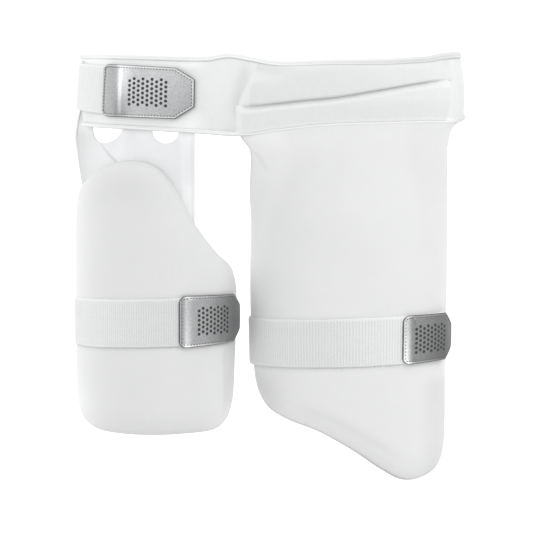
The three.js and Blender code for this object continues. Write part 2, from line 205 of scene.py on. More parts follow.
def pucker(along):
    """Uneven pull of a sewn edge: the mean of waves whose lengths share no common measure, from -1 to 1."""
    return sum(np.sin(along / wave + k) for k, wave in enumerate(PUCKER_WAVES)) / len(PUCKER_WAVES)


def grid_quads(rows, columns, first=0, closed=False):
    """Corner numbers of the quads of a grid of points; closed joins the last column to the first."""
    i, j = np.meshgrid(np.arange(rows - 1), np.arange(columns if closed else columns - 1), indexing="ij")
    near = first + i * columns
    far = near + columns
    k = (j + 1) % columns
    return np.stack([near + j, far + j, far + k, near + k], -1).reshape(-1, 4)


def shell(outer, inner):
    """Points and faces of a closed wall: an outer grid, an inner grid of its size and a strip round them."""
    rows, columns = outer.shape[:2]
    size = rows * columns
    index = np.arange(size).reshape(rows, columns)
    ring = np.concatenate([index[:, 0], index[-1, 1:], index[-2::-1, -1], index[0, -2:0:-1]])
    after = np.roll(ring, -1)
    rim = np.stack([ring, ring + size, after + size, after], -1)
    faces = [grid_quads(rows, columns), grid_quads(rows, columns, size)[:, ::-1], rim]
    return np.concatenate([outer.reshape(-1, 3), inner.reshape(-1, 3)]), np.concatenate(faces).tolist()


def fine_ends(count):
    """Shares from 0 to 1 that lie closer together at both ends."""
    return (1 - np.cos(np.pi * np.linspace(0, 1, count))) / 2


def put_mesh(name, points, faces, uv=None, tone=None):
    """A smooth mesh object from points in millimetres and corner numbers. Each point may have a pair of cloth
    coordinates, which the finish follows, and a tone that paints light and shade into its colour: below 1
    where shade is painted, as in seams and creases, and above 1 where light is painted."""
    mesh = bpy.data.meshes.new(name)
    mesh.from_pydata((points.reshape(-1, 3) * MM).tolist(), [], faces)
    mesh.shade_smooth()
    if uv is not None:
        layer = mesh.uv_layers.new(name="cloth")
        corner = np.empty(len(mesh.loops), np.int32)
        mesh.loops.foreach_get("vertex_index", corner)
        layer.data.foreach_set("uv", uv.reshape(-1, 2)[corner].astype(np.float32).ravel())
    tones = np.ones(len(mesh.vertices)) if tone is None else tone
    mesh.attributes.new("tone", "FLOAT", "POINT").data.foreach_set("value", tones.astype(np.float32).ravel())
    piece = bpy.data.objects.new(name, mesh)
    bpy.context.scene.collection.objects.link(piece)
    return piece


def new_finish(name, roughness):
    """An empty finish, as its material, its node tree and its shader."""
    material = bpy.data.materials.new(name)
    material.use_nodes = True
    shader = material.node_tree.nodes["Principled BSDF"]
    shader.inputs["Roughness"].default_value = roughness
    return material, material.node_tree, shader


def add_node(tree, kind, inputs, **settings):
    """A node whose sockets take a value, or a link where another node's socket is given."""
    made = tree.nodes.new(kind)
    for name, value in settings.items():
        setattr(made, name, value)
    for name, value in inputs.items():
        if isinstance(value, bpy.types.NodeSocket):
            tree.links.new(value, made.inputs[name])
        else:
            made.inputs[name].default_value = value
    return made


def add_colour(tree, shader, factor, colours):
    """The base colour: a smooth run between two colours, times the piece's own tone, which holds its
    painted light and shade.
    """
    ramp = add_node(tree, "ShaderNodeValToRGB", {"Fac": factor})
    ramp.color_ramp.interpolation = "EASE"
    for stop, colour in zip(ramp.color_ramp.elements, colours):
        stop.color = colour
    tone = add_node(tree, "ShaderNodeAttribute", {}, attribute_name="tone").outputs["Fac"]
    toned = {"Vector": ramp.outputs["Color"], "Scale": tone}
    made = add_node(tree, "ShaderNodeVectorMath", toned, operation="SCALE")
    tree.links.new(made.outputs["Vector"], shader.inputs["Base Color"])


def add_maths(tree, operation, a, b):
    """One sum, product or other operation of two values."""
    made = add_node(tree, "ShaderNodeMath", {}, operation=operation)
    for socket, value in zip(made.inputs, (a, b)):
        if isinstance(value, bpy.types.NodeSocket):
            tree.links.new(value, socket)
        else:
            socket.default_value = value
    return made.outputs["Value"]


def own_place(tree):
    """The piece's own coordinates, in metres."""
    return add_node(tree, "ShaderNodeTexCoord", {}).outputs["Object"]


def add_noise(tree, place, scale, detail, roughness=0.5):
    """A cloudy pattern."""
    inputs = {"Vector": place, "Scale": scale, "Detail": detail, "Roughness": roughness}
    return add_node(tree, "ShaderNodeTexNoise", inputs).outputs["Fac"]


def add_bump(tree, shader, height, strength, distance):
    """Small relief from a pattern."""
    inputs = {"Strength": strength, "Distance": distance, "Height": height}
    bump = add_node(tree, "ShaderNodeBump", inputs)
    tree.links.new(bump.outputs["Normal"], shader.inputs["Normal"])


def brushed_loop():
    """Brushed loop cloth: a fine nap with soft clumps, matte, with a weak sheen from its upright fibres."""
    material, tree, shader = new_finish("brushed_loop", 0.95)
    place = own_place(tree)
    nap = add_noise(tree, place, scale=1400, detail=3, roughness=0.7)
    clump = add_noise(tree, place, scale=160, detail=4, roughness=0.6)
    add_colour(tree, shader, clump, LOOP_WHITE)
    add_bump(tree, shader, add_maths(tree, "ADD", nap, clump), strength=0.35, distance=0.0004)
    shader.inputs["Sheen Weight"].default_value = 0.15
    shader.inputs["Sheen Roughness"].default_value = 0.6
    return material


LOOP = brushed_loop()


def belt_wall():
    """The wall on a grid of share along and share up. Its face swells between the tapes, puckers beside them,
    dips in front of the hip pads, thins at its ends and has a turned hem at the right one. Its tone carries
    painted shade beside the tapes, in the hem and in the dip, and painted patches of light and shade."""
    u, v = np.meshgrid(np.linspace(0, 1, BELT_GRID[0]), fine_ends(BELT_GRID[1]), indexing="ij")
    left = lerp(BELT["left_low"], BELT["left_high"], v)
    along = lerp(left, BELT["right"], u)
    bottom, top = belt_edge("bottom", along), belt_edge("top", along)
    tuck = BELT["taken"] / 2
    z = lerp(bottom + tuck, top - tuck, v)
    to_left, to_right = along - left, BELT["right"] - along
    beside_tape = lump(v, 0, BELT_PUCKER["width"]) + lump(v, 1, BELT_PUCKER["width"])
    hem, ramp = BELT_HEM["width"], BELT_HEM["ramp"]
    dip = lump(along, lerp(BELT_DIP["low"], BELT_DIP["high"], v), BELT_DIP["width"])
    dip *= ease(v, *BELT_DIP["fade"])
    out = belt_face(along, z) + BELT_PUCKER["rise"] * pucker(along) * beside_tape
    out += BELT_HEM["rise"] * ease(to_right, hem + ramp, hem - ramp)
    out -= BELT_HEM["groove"] * lump(to_right, hem, BELT_HEM["groove_width"]) + BELT_DIP["depth"] * dip
    end = np.sqrt(np.clip(np.minimum(to_left, to_right) / BELT["rounding"], 0, 1))
    flare = belt_flare(along, z)
    outer = on_waist(along, z, lerp(BELT["lining"] + BELT["thin_end"], out, end) + flare)
    tone = 1 - painted_seam_shadow("top", along, top - z) - painted_seam_shadow("bottom", along, z - bottom)
    tone -= BELT_HEM["dark"] * lump(to_right, hem, BELT_HEM["dark_width"])
    tone -= BELT_DIP["dark"] * dip * ease(v, *BELT_DIP["shaded"])
    tone += patches(BELT_PAINTED_LIGHT, along=along, up=v)
    points, faces = shell(outer, on_waist(along, z, BELT["lining"] + flare))
    return points, faces, None, np.concatenate([tone.ravel(), np.ones(tone.size)])


belt = put_mesh("waist_band_cover", *belt_wall())
belt.data.materials.append(LOOP)
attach(belt, "root")
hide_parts("waist_band")


# The satin tapes on the belt's long edges
# Narrow white tape folded over each raw edge of the belt and sewn through with one row of stitches, which
# pull a shallow groove along the tape and pucker it slightly.
TAPE = dict(top=7.1, bottom=4.6, thick=7.4, flat=0.62, over=0.3, sunk=0.5, pucker=0.1)
TAPE_SEAM = dict(place=0.66, depth=0.5, width=0.5, laid=0.45, margin=3, steps=1200)
TAPE_PULL = dict(rise=0.08, off=0.6, width=0.9)
# Painted light and shade on the tapes: shade in the crease beside the seam, where a tape meets the belt and
# along its rim, the top tape lighter mid-way and greyer over the hip pads, the bottom one greyer at its right
# end.
TAPE_TONE = dict(crease=0.09, crease_off=0.9, crease_width=0.45, meet=0.3, meet_width=0.5)
TAPE_RIM = dict(at=0.3, width=0.6, top=0.05, left=0.3, right=0.09, fade=(-40, 60))
TAPE_LIGHT = dict(left=0.96, middle=1.04, right=0.78, rise=(-250, -170), fall=(-30, 190))
TAPE_END = dict(dark=0.26, fade=(185, 222))
TAPE_GRID = (640, 48)
STITCH = dict(pitch=3.4, length=2.4, width=0.6, height=0.34)
SATIN_WHITE = [(0.91, 0.914, 0.92, 1), (0.94, 0.944, 0.95, 1)]
THREAD_WHITE = (0.86, 0.865, 0.87, 1)
THREAD_SHADE = 0.82
EGG_SIDES = 6


def tube(rings):
    """A closed skin over rings of points, with one flat face at each end. Each ring runs up the outer side
    and down the inner side."""
    count, around = rings.shape[:2]
    faces = grid_quads(count, around, closed=True).tolist()
    faces.append(list(range(around)))
    faces.append(list(range(count * around - 1, (count - 1) * around - 1, -1)))
    return rings.reshape(-1, 3), faces


def cloth_place(tree):
    """The piece's cloth coordinates, in millimetres."""
    return add_node(tree, "ShaderNodeUVMap", {}, uv_map="cloth").outputs["UV"]


def add_wave(tree, place, scale, distortion, direction="X"):
    """A pattern of even, slightly bent bands."""
    inputs = {"Vector": place, "Scale": scale, "Distortion": distortion}
    return add_node(tree, "ShaderNodeTexWave", inputs, bands_direction=direction).outputs["Fac"]


def satin():
    """Satin tape: a fine slanted rib that follows the tape, with a soft gloss."""
    material, tree, shader = new_finish("satin_binding", 0.48)
    place = cloth_place(tree)
    add_colour(tree, shader, add_noise(tree, place, scale=0.4, detail=3), SATIN_WHITE)
    rib = add_wave(tree, place, scale=0.32, distortion=0.6, direction="DIAGONAL")
    add_bump(tree, shader, rib, strength=0.3, distance=0.0002)
    shader.inputs["Sheen Weight"].default_value = 0.1
    return material


def sewing_thread(name, colour):
    """Twisted sewing thread: a fine slanted twist on a plain colour."""
    material, tree, shader = new_finish(name, 0.6)
    twist = add_noise(tree, own_place(tree), scale=2500, detail=1)
    shade = [tuple(THREAD_SHADE * c for c in colour[:3]) + (1,), colour]
    add_colour(tree, shader, twist, shade)
    add_bump(tree, shader, twist, strength=0.4, distance=0.0001)
    return material


def stitches(line, out_line, sewn):
    """A row of stitches on a line of close points: at each pitch along it an egg shape of a few faces lies
    along the line, half sunk in the cloth. The second line is the first moved out by one millimetre, and
    sewn gives the stitches' sizes."""
    run = np.concatenate([[0], np.cumsum(np.linalg.norm(np.diff(line, axis=0), axis=1))])
    at = np.arange(sewn["pitch"] / 2, run[-1], sewn["pitch"])
    along = np.stack([np.gradient(row, run) for row in line.T], -1)
    lines = (line, along, out_line - line)
    place, ahead, up = (np.stack([np.interp(at, run, row) for row in rows.T], -1) for rows in lines)
    ahead /= np.linalg.norm(ahead, axis=1, keepdims=True)
    side = np.cross(up, ahead)
    side /= np.linalg.norm(side, axis=1, keepdims=True)
    n = EGG_SIDES
    a, b = np.meshgrid(np.linspace(0, np.pi, n), np.linspace(0, 2 * np.pi, n, endpoint=False), indexing="ij")
    egg = [np.cos(a) * sewn["length"] / 2, np.sin(a) * np.cos(b) * sewn["width"] / 2]
    egg.append(np.sin(a) * np.sin(b) * sewn["height"])
    ways = zip(egg, (ahead, side, up))
    points = place[:, None, :] + sum(part.reshape(1, -1, 1) * way[:, None, :] for part, way in ways)
    quads = grid_quads(n, n, closed=True)[:, ::-1]
    faces = (np.arange(len(at))[:, None, None] * n * n + quads).reshape(-1, 4)
    return points.reshape(-1, 3), faces.tolist()


def tape_side(side):
    """Where a tape starts at the left, and which way is in from its edge."""
    return (BELT["left_high"], -1) if side == "top" else (BELT["left_low"], 1)


def tape_tone(side, along, from_edge):
    """Tone of a tape, painted light and shade: darker in the crease beside its seam, where it meets the belt
    and along its rim. The top one is painted lighter mid-way and greys over the hip pads, and the bottom
    one greys at its right end."""
    crease_at = TAPE[side] * TAPE_SEAM["place"] - TAPE_TONE["crease_off"]
    crease = TAPE_TONE["crease"] * lump(from_edge, crease_at, TAPE_TONE["crease_width"])
    meet = TAPE_TONE["meet"] * lump(from_edge, TAPE[side], TAPE_TONE["meet_width"]) * seam_shadow_strength(side, along)
    rim = lump(from_edge, TAPE_RIM["at"], TAPE_RIM["width"])
    if side == "top":
        light = lerp(TAPE_LIGHT["left"], TAPE_LIGHT["middle"], ease(along, *TAPE_LIGHT["rise"]))
        light = lerp(light, TAPE_LIGHT["right"], ease(along, *TAPE_LIGHT["fall"]))
        return (1 - crease - meet) * light - TAPE_RIM["top"] * rim
    dark = lerp(TAPE_RIM["left"], TAPE_RIM["right"], ease(along, *TAPE_RIM["fade"]))
    return 1 - crease - meet - dark * rim - TAPE_END["dark"] * ease(along, *TAPE_END["fade"])


def tape(side):
    """The tape as a flat oval section carried along the belt's edge, with the seam's groove across its outer
    side. Gives its rings, their cloth coordinates and their tones."""
    left, inward = tape_side(side)
    height, line = TAPE[side], TAPE[side] * TAPE_SEAM["place"]
    along = np.linspace(left, BELT["right"], TAPE_GRID[0])[:, None]
    turn = np.linspace(-np.pi / 2, 3 * np.pi / 2, TAPE_GRID[1], endpoint=False)[None, :]
    up = bow(np.sin(turn), TAPE["flat"])
    over = bow(np.cos(turn), TAPE["flat"])
    z = belt_edge(side, along) + (inward + up) * height / 2 - inward * TAPE["over"]
    from_edge = np.abs((1 + inward * up) * height / 2)
    groove = TAPE_SEAM["depth"] * lump(from_edge, line, TAPE_SEAM["width"])
    pull = TAPE_PULL["rise"] * np.cos(2 * np.pi * along / STITCH["pitch"])
    pull = pull * lump(from_edge, line + TAPE_PULL["off"], TAPE_PULL["width"])
    out = BELT["lining"] - TAPE["sunk"] + (1 + over) * TAPE["thick"] / 2 + (pull - groove) * (over > 0)
    out = out + TAPE["pucker"] * pucker(along) + belt_flare(along, z)
    uv = np.stack(np.broadcast_arrays(along, turn * height / 2), -1)
    tone = tape_tone(side, along, from_edge)
    return on_waist(along, z, out), uv, np.broadcast_to(tone, uv.shape[:2])


def tape_seam(side):
    """The seam's line in the tape's groove, and the same line one millimetre further out."""
    left, inward = tape_side(side)
    margin = TAPE_SEAM["margin"]
    along = np.linspace(left + margin, BELT["right"] - margin, TAPE_SEAM["steps"])
    z = belt_edge(side, along) + inward * (TAPE[side] * TAPE_SEAM["place"] - TAPE["over"])
    out = BELT["lining"] + TAPE["thick"] - TAPE["sunk"] - TAPE_SEAM["laid"] + belt_flare(along, z)
    return on_waist(along, z, out), on_waist(along, z, out + 1)


SATIN = satin()
WHITE_THREAD = sewing_thread("white_thread", THREAD_WHITE)
for side in ("top", "bottom"):
    rings, uv, tone = tape(side)
    edge_tape = put_mesh(f"edge_tape_{side}", *tube(rings), uv, tone)
    edge_tape.data.materials.append(SATIN)
    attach(edge_tape, "root")
    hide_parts(f"band_binding_{side}")
    seam = put_mesh(f"edge_tape_seam_{side}", *stitches(*tape_seam(side), STITCH))
    seam.data.materials.append(WHITE_THREAD)
    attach(seam, "root")


# The two hip pads
# Moulded foam wedges under the belt's own cloth, on its right half. The upper one has a slanted, bevelled
# left end and overhangs the lower one along a slanting crease, which fades out towards the hip.
HIP_CREASE = dict(
    along=[-40, -21, 27, 65, 102, 148, 170, 195],
    z=[-11.4, -11.1, -6, -1.9, 4.7, 13.1, 16.3, 17.4],
)
HIP = dict(rise=8, sink=0.8, back=2, lean=1.25, overhang=1.2, lap=0.6, soft_corner=0.012, grid=(240, 72))
# HIP_BEVEL's light is a painted highlight on the upper pad's bevel.
HIP_BEVEL = dict(least=1.6, more=9.6, power=1.2, light=0.1, over=(1.2, 0.9), high=(4, 16))
UPPER_SHAPE = dict(hip_end=(0, 60), low_round=3, high_round=10)
UPPER_FLAT = dict(drop=0.72, high=(24, 7), left=(45, 4))
# Painted shade and light on the pads: the creases' dark, the upper pad's grey patches, and the lower pad's
# grey with its paler belly and left end.
UPPER_CREASE = dict(dark=0.24, width=0.9, right=(25, 90), left=(8, 44))
UPPER_PAINTED_SHADE = [(0.07, {}), (0.022, dict(right=(70, 130))), (0.03, dict(high=(12, 4)))]
LOWER_SHAPE = dict(bevel=7, hip_end=(0, 13), foot=0.36, foot_run=(-3, 22), under=0.34, under_run=(0, 9))
LOWER_CREASE = dict(dark=0.2, width=1.3, right=(15, 75), left=(8, 46))
LOWER_TONE = dict(grey=0.03, belly=0.03, belly_at=9, belly_width=9, end=0.06, end_in=(9, 5), end_out=(0, 3))


def facet(inset, width):
    """A straight bevel from 0 at the edge to 1 at its inner end, its inner corner rounded off."""
    t = inset / width
    return (t + 1 - np.sqrt((t - 1) ** 2 + HIP["soft_corner"])) / 2


def rounded(inset, width):
    """A quarter round that rises from 0 at the edge to 1 at the bevel's inner end."""
    t = np.clip(inset / width, 0, 1)
    return np.sqrt(1 - (1 - t) ** 2)


def hip_pad(foot, head, right, low, high, height, painted_shading):
    """A wedge over a four-sided patch of the belt. Its height is the full rise times one falling curve for
    each side, and its skirt sinks into the belt's cloth. Its tone drops with painted shade in the crease
    and round the skirt, and rises with painted light on the bevels."""
    u, v = np.meshgrid(fine_ends(HIP["grid"][0]), fine_ends(HIP["grid"][1]), indexing="ij")
    left = lerp(foot, head, v ** HIP["lean"])
    along = lerp(left, right, u)
    bottom, top = low(along), high(along)
    z = lerp(bottom, top, v)
    sides = (along - left, right - along, z - bottom, top - z)
    face = belt_face(along, z)
    rise = lerp(-HIP["sink"], HIP["rise"], height(*sides))
    points, faces = shell(on_waist(along, z, face + rise), on_waist(along, z, face - HIP["back"]))
    tone = 1 - painted_shading(*sides)
    return points, faces, None, np.concatenate([tone.ravel(), np.ones(tone.size)])


def bevel(low, high):
    """Width of the upper pad's bevel, which narrows from the crease up."""
    up = np.clip(high / (low + high), 0, 1)
    return HIP_BEVEL["least"] + HIP_BEVEL["more"] * up ** HIP_BEVEL["power"]


def crease(along):
    """Height of the crease between the two pads."""
    return lookup(HIP_CREASE, "along", "z", along)


def crease_line(line, inset, left, right):
    """Drop of tone in the crease, a painted shade which fades out towards both of its ends."""
    drop = line["dark"] * lump(inset, 0, line["width"])
    return drop * ease(right, *line["right"]) * ease(left, *line["left"])


def upper_height(left, right, low, high):
    """Share of the rise of the upper pad: a straight bevel at the left, flatter beside the tape, a long fall
    to the hip and two rounded long edges."""
    flat = UPPER_FLAT["drop"] * ease(high, *UPPER_FLAT["high"]) * ease(left, *UPPER_FLAT["left"])
    ends = facet(left, bevel(low, high)) * (1 - flat) * ease(right, *UPPER_SHAPE["hip_end"])
    return ends * rounded(low, UPPER_SHAPE["low_round"]) * rounded(high, UPPER_SHAPE["high_round"])


def upper_painted_shading(left, right, low, high):
    """Drop of tone of the upper pad, painted: grey under the tape and in the crease, paler on its bevel."""
    pale = ease(left / bevel(low, high), *HIP_BEVEL["over"]) * ease(high, *HIP_BEVEL["high"])
    grey = patches(UPPER_PAINTED_SHADE, right=right, high=high)
    return grey + crease_line(UPPER_CREASE, low, left, right) - HIP_BEVEL["light"] * pale


def lower_height(left, right, low, high):
    """Share of the rise of the lower pad: a straight bevel at the left, a short fall to the hip, and lower
    both along the tape and under the upper pad."""
    foot = lerp(LOWER_SHAPE["foot"], 1, ease(low, *LOWER_SHAPE["foot_run"]))
    under = lerp(LOWER_SHAPE["under"], 1, ease(high, *LOWER_SHAPE["under_run"]))
    return facet(left, LOWER_SHAPE["bevel"]) * ease(right, *LOWER_SHAPE["hip_end"]) * foot * under


def lower_painted_shading(left, right, low, high):
    """Drop of tone of the lower pad, painted: grey in the crease, paler on its belly and on its left end."""
    pale = LOWER_TONE["belly"] * lump(low, LOWER_TONE["belly_at"], LOWER_TONE["belly_width"])
    pale = pale + LOWER_TONE["end"] * ease(left, *LOWER_TONE["end_in"]) * ease(left, *LOWER_TONE["end_out"])
    return LOWER_TONE["grey"] + crease_line(LOWER_CREASE, high, left, right) - pale


HIP_PADS = dict(
    upper=dict(
        foot=-34.5,
        head=-13,
        right=212,
        low=lambda along: crease(along) - HIP["overhang"],
        high=lambda along: belt_edge("top", along) - BELT["taken"] - HIP["lap"],
        height=upper_height,
        painted_shading=upper_painted_shading,
    ),
    lower=dict(
        foot=-37,
        head=-37,
        right=197,
        low=lambda along: belt_edge("bottom", along) + BELT["taken"] / 2,
        high=lambda along: crease(along) + HIP["lap"],
        height=lower_height,
        painted_shading=lower_painted_shading,
    ),
)
for place, shape in HIP_PADS.items():
    hip = put_mesh(f"hip_pad_cover_{place}", *hip_pad(**shape))
    hip.data.materials.append(LOOP)
    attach(hip, "root")
    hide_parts(f"hip_pad_{place}")


# The waist elastic
# White woven elastic, 50 mm wide, with ribs across it between two plain selvedges. It runs from inside the
# belt's right end, round the back, and over the belt's left end to the hook tab.
ELASTIC = dict(width=50, thick=1.5, rib=0.5, pitch=3.4, on_body=0.3, over_belt=9.1)
# RIB's dark is painted shade in the hollows between the ribs, and SELVEDGE's dark a painted shadow line along
# the elastic's lower edge.
RIB = dict(steps=5, columns=39, power=0.8, fade=0.8, dark=0.18)
ZIGZAG = dict(length=5.1, reach=0.55)
SELVEDGE = dict(width=2.2, roll=(0, 0.15, 0.5, 1), plain=1.8, thin=0.45, round=1.2, dark=0.28, line=0.9)
WANDER = dict(reach=0.25, pace=0.55)
ELASTIC_RUN = dict(along=[-805, -640, -420, -262, -178, -96], z=[14, 17, 16.2, 14.6, 6.5, 1.2])
ELASTIC_STEP = dict(start=-352, end=-274)
ELASTIC_BULGE = dict(along=-264, width=36, rise=2.5)
WEBBING_WHITE = [(0.845, 0.851, 0.855, 1), (0.885, 0.891, 0.895, 1)]


def on_elastic(along, across, out):
    """A point of the waist elastic: at the middle height of its run plus the way across, on the body behind,
    lifted over the belt in front, and bulging where it bends over the belt's end."""
    lifted = ease(along, ELASTIC_STEP["start"], ELASTIC_STEP["end"])
    lift = lerp(ELASTIC["on_body"], ELASTIC["over_belt"], lifted)
    lift = lift + ELASTIC_BULGE["rise"] * lump(along, ELASTIC_BULGE["along"], ELASTIC_BULGE["width"])
    return on_waist(along, lookup(ELASTIC_RUN, "along", "z", along) + across, lift + out)


def ribbed_strap(place, run, pitch):
    """Elastic as a flat section carried along a path: place gives the point at a distance along it, a way
    across and a way out. The outer side has one round rib for each pitch, which runs across the elastic in a
    zigzag, and plain, thinner selvedges with rolled edges. The inner side has a third of its points. Gives
    its rings, their cloth coordinates in millimetres and their tones, which paint shade between the ribs and
    a shadow line along the lower selvedge."""
    half = ELASTIC["width"] / 2
    along = np.linspace(run[0], run[1], int((run[1] - run[0]) / pitch * RIB["steps"]))[:, None]
    rolled = half - np.array(SELVEDGE["roll"])
    flat = half - SELVEDGE["plain"]
    outer = np.concatenate([-rolled, np.linspace(-flat, flat, RIB["columns"]), rolled[::-1]])
    inner = outer[-2:0:-3]
    across = np.concatenate([outer, inner])[None, :]
    front = np.concatenate([np.ones(len(outer)), np.zeros(len(inner))])[None, :]
    to_edge = half - np.abs(across)
    woven = ease(to_edge, SELVEDGE["width"] - RIB["fade"], SELVEDGE["width"] + RIB["fade"])
    lean = ZIGZAG["reach"] * np.arcsin(np.sin(2 * np.pi * across / ZIGZAG["length"])) * 2 / np.pi
    rib = np.abs(np.cos(np.pi * (along + lean) / pitch)) ** RIB["power"]
    edge = lerp(SELVEDGE["thin"], 1, rounded(to_edge, SELVEDGE["round"]))
    wander = WANDER["reach"] * pucker(along * WANDER["pace"]) * across / half
    height = front * (ELASTIC["thick"] * edge + ELASTIC["rib"] * woven * rib)
    uv = np.stack(np.broadcast_arrays(along, across), -1)
    line = SELVEDGE["dark"] * lump(across, -half, SELVEDGE["line"]) * front
    tone = 1 - RIB["dark"] * woven * (1 - rib) - line
    return place(along, across + wander, height), uv, np.broadcast_to(tone, uv.shape[:2])


def webbing():
    """Woven elastic: fine threads that cross its ribs, matte white with faintly uneven yarn."""
    material, tree, shader = new_finish("elastic_webbing", 0.85)
    place = cloth_place(tree)
    add_colour(tree, shader, add_noise(tree, place, scale=0.25, detail=4), WEBBING_WHITE)
    yarn = add_wave(tree, place, scale=0.28, distortion=1.2, direction="Y")
    add_bump(tree, shader, yarn, strength=0.4, distance=0.0003)
    shader.inputs["Sheen Weight"].default_value = 0.15
    return material


WEBBING = webbing()
elastic_ends = (ELASTIC_RUN["along"][0], ELASTIC_RUN["along"][-1])
rings, uv, tone = ribbed_strap(on_elastic, elastic_ends, ELASTIC["pitch"])
waist_elastic = put_mesh("waist_elastic_webbing", *tube(rings), uv, tone)
waist_elastic.data.materials.append(WEBBING)
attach(waist_elastic, "root")
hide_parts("waist_elastic")


# The waist hook tab
# Silver grained synthetic leather round a stiff core, with hook tape behind. A flat strip at its left end is
# sewn to the elastic, the rest is raised, its rolled edges are sewn all round, and its free corners are cut.
TAB = dict(corner=8, chamfer_run=0.19, chamfer_drop=12, slant=0.82, edge=1.8, crown=1.1, lift_run=(0.3, 1.15))
TAB_SEAM = dict(inset=2.7, depth=0.35, width=0.7, proud=0.05, sides=300, ends=80)
TAB_STITCH = dict(pitch=3.5, length=2, width=1.45, height=0.34)
TAB_STRIP = dict(drop=1.2, ramp=0.06, inset=(1.5, 4))
TAB_LIP = dict(rise=0.6, off=0.01, width=0.045, inset=(2, 6))
TAB_ROLL = dict(rise=0.25, at=1.1, width=0.8, least=0.3, round=1.4)
# Painted reflections on the silver tabs: the tone fades along and up each tab, and its rolled rim is painted
# brighter.
TAB_PAINTED_REFLECTION = dict(up=(-0.9, 0.7), along=(0.1, 0.9), sewn=0.05, rim=0.5, rim_at=1.7, rim_width=1)
TAB_CUT = dict(tone=0.25, inset=(0.3, 1.1))
TAB_BACK_TONE = 0.35
TAB_GRID = dict(along=150, across=92, ends=14, end_share=0.03)
WAIST_TAB = dict(
    start=-178.5,
    end=-77,
    half=27.2,
    taper=1.2,
    lift=0,
    strip=0.2,
    grip=0.53,
    # The two tone tables below paint the tab's reflections and its highlight line.
    painted_reflection=dict(strip=0.76, near=1.14, far_high=1, far_low=0.87),
    painted_highlight=dict(line=0.225, width=(0.05, 0.11), high=0.5, low=-0.45),
)
GRIP = dict(columns=9, rows=6, pitch=4.8, radius=1.75, height=0.5, sunk=0.15, sides=12)
GRIP_DOME = dict(level=[0, 0.6, 1], radius=[1, 0.92, 0.55])
SILVER = [(0.26, 0.264, 0.27, 1), (0.76, 0.764, 0.77, 1)]
SILVER_THREAD = (0.14, 0.141, 0.144, 1)
GRIP_DARK = (0.028, 0.029, 0.031, 1)
GRIP_WORN = 1.6


def tab_half_width(tab, share):
    """Half the tab's width at a share of its length: round corners at the sewn end, straight cuts at the free
    one."""
    sewn = np.minimum(share * tab["length"], TAB["corner"])
    corner = TAB["corner"] - np.sqrt(TAB["corner"] ** 2 - (TAB["corner"] - sewn) ** 2)
    cut = TAB["chamfer_drop"] * np.clip(1 - (1 - share) / TAB["chamfer_run"], 0, 1)
    return tab["half"] - tab["taper"] * share - corner - cut


def tab_inset(tab, share, across):
    """Distance in from the tab's edge: the least of the ways to its two ends and to its side, which the cut
    corners shorten."""
    slant = np.where(1 - share < TAB["chamfer_run"], TAB["slant"], 1)
    side = (tab_half_width(tab, share) - np.abs(across)) * slant
    return np.minimum(np.minimum(share, 1 - share) * tab["length"], side)


def tab_bed(tab, share):
    """How far the tab's back lies from the elastic's inner side. The stiff free end stands off a pad."""
    return ELASTIC["thick"] + ELASTIC["rib"] + tab["lift"] * ease(share, *TAB["lift_run"])


def tab_height(tab, share, across):
    """How far the tab's face stands above its back: a rolled edge, a crown, the seam's groove, and the lower
    sewn strip that steps up to a lip."""
    inset = tab_inset(tab, share, across)
    half = np.maximum(tab_half_width(tab, share), 1)
    crown = TAB["crown"] * np.cos(np.clip(across / half, -1, 1) * np.pi / 2) * np.sqrt(np.sin(np.pi * share))
    ramp = tab["strip"] + TAB_STRIP["ramp"]
    step = TAB_STRIP["drop"] * ease(share, ramp, tab["strip"]) * ease(inset, *TAB_STRIP["inset"])
    lip = TAB_LIP["rise"] * lump(share, ramp + TAB_LIP["off"], TAB_LIP["width"])
    lip = lip * ease(inset, *TAB_LIP["inset"])
    groove = TAB_SEAM["depth"] * lump(inset, TAB_SEAM["inset"], TAB_SEAM["width"])
    roll = TAB_ROLL["rise"] * lump(inset, TAB_ROLL["at"], TAB_ROLL["width"])
    body = TAB["edge"] + crown + lip - step
    return lerp(TAB_ROLL["least"], body, rounded(inset, TAB_ROLL["round"])) - groove + roll


def tab_point(place, tab, share, across, out):
    """A point above the tab's back."""
    return place(lerp(tab["start"], tab["end"], share), across, tab_bed(tab, share) + out)


def tab_tone(tab, share, v, inset):
    """Tone of the tab's face, which paints the silver's reflections: one grey on the sewn strip, a fade from
    near to far on the rest, a painted highlight line between them and a painted bright rim on the rolled
    edge. It is darker along the cut edge."""
    painted_reflection, painted_highlight = tab["painted_reflection"], tab["painted_highlight"]
    high = ease(v, *TAB_PAINTED_REFLECTION["up"])
    far = lerp(painted_reflection["far_low"], painted_reflection["far_high"], high)
    fade = lerp(painted_reflection["near"], far, ease(share, *TAB_PAINTED_REFLECTION["along"]))
    sewn = ease(share, painted_highlight["line"], painted_highlight["line"] - TAB_PAINTED_REFLECTION["sewn"])
    width = np.where(share < painted_highlight["line"], *painted_highlight["width"])
    highlight_line = lump(share, painted_highlight["line"], width) * lerp(painted_highlight["low"], painted_highlight["high"], high)
    rim = 1 + TAB_PAINTED_REFLECTION["rim"] * lump(inset, TAB_PAINTED_REFLECTION["rim_at"], TAB_PAINTED_REFLECTION["rim_width"])
    cut = lerp(TAB_CUT["tone"], 1, ease(inset, *TAB_CUT["inset"]))
    return (lerp(fade, painted_reflection["strip"], sewn) + highlight_line) * rim * cut


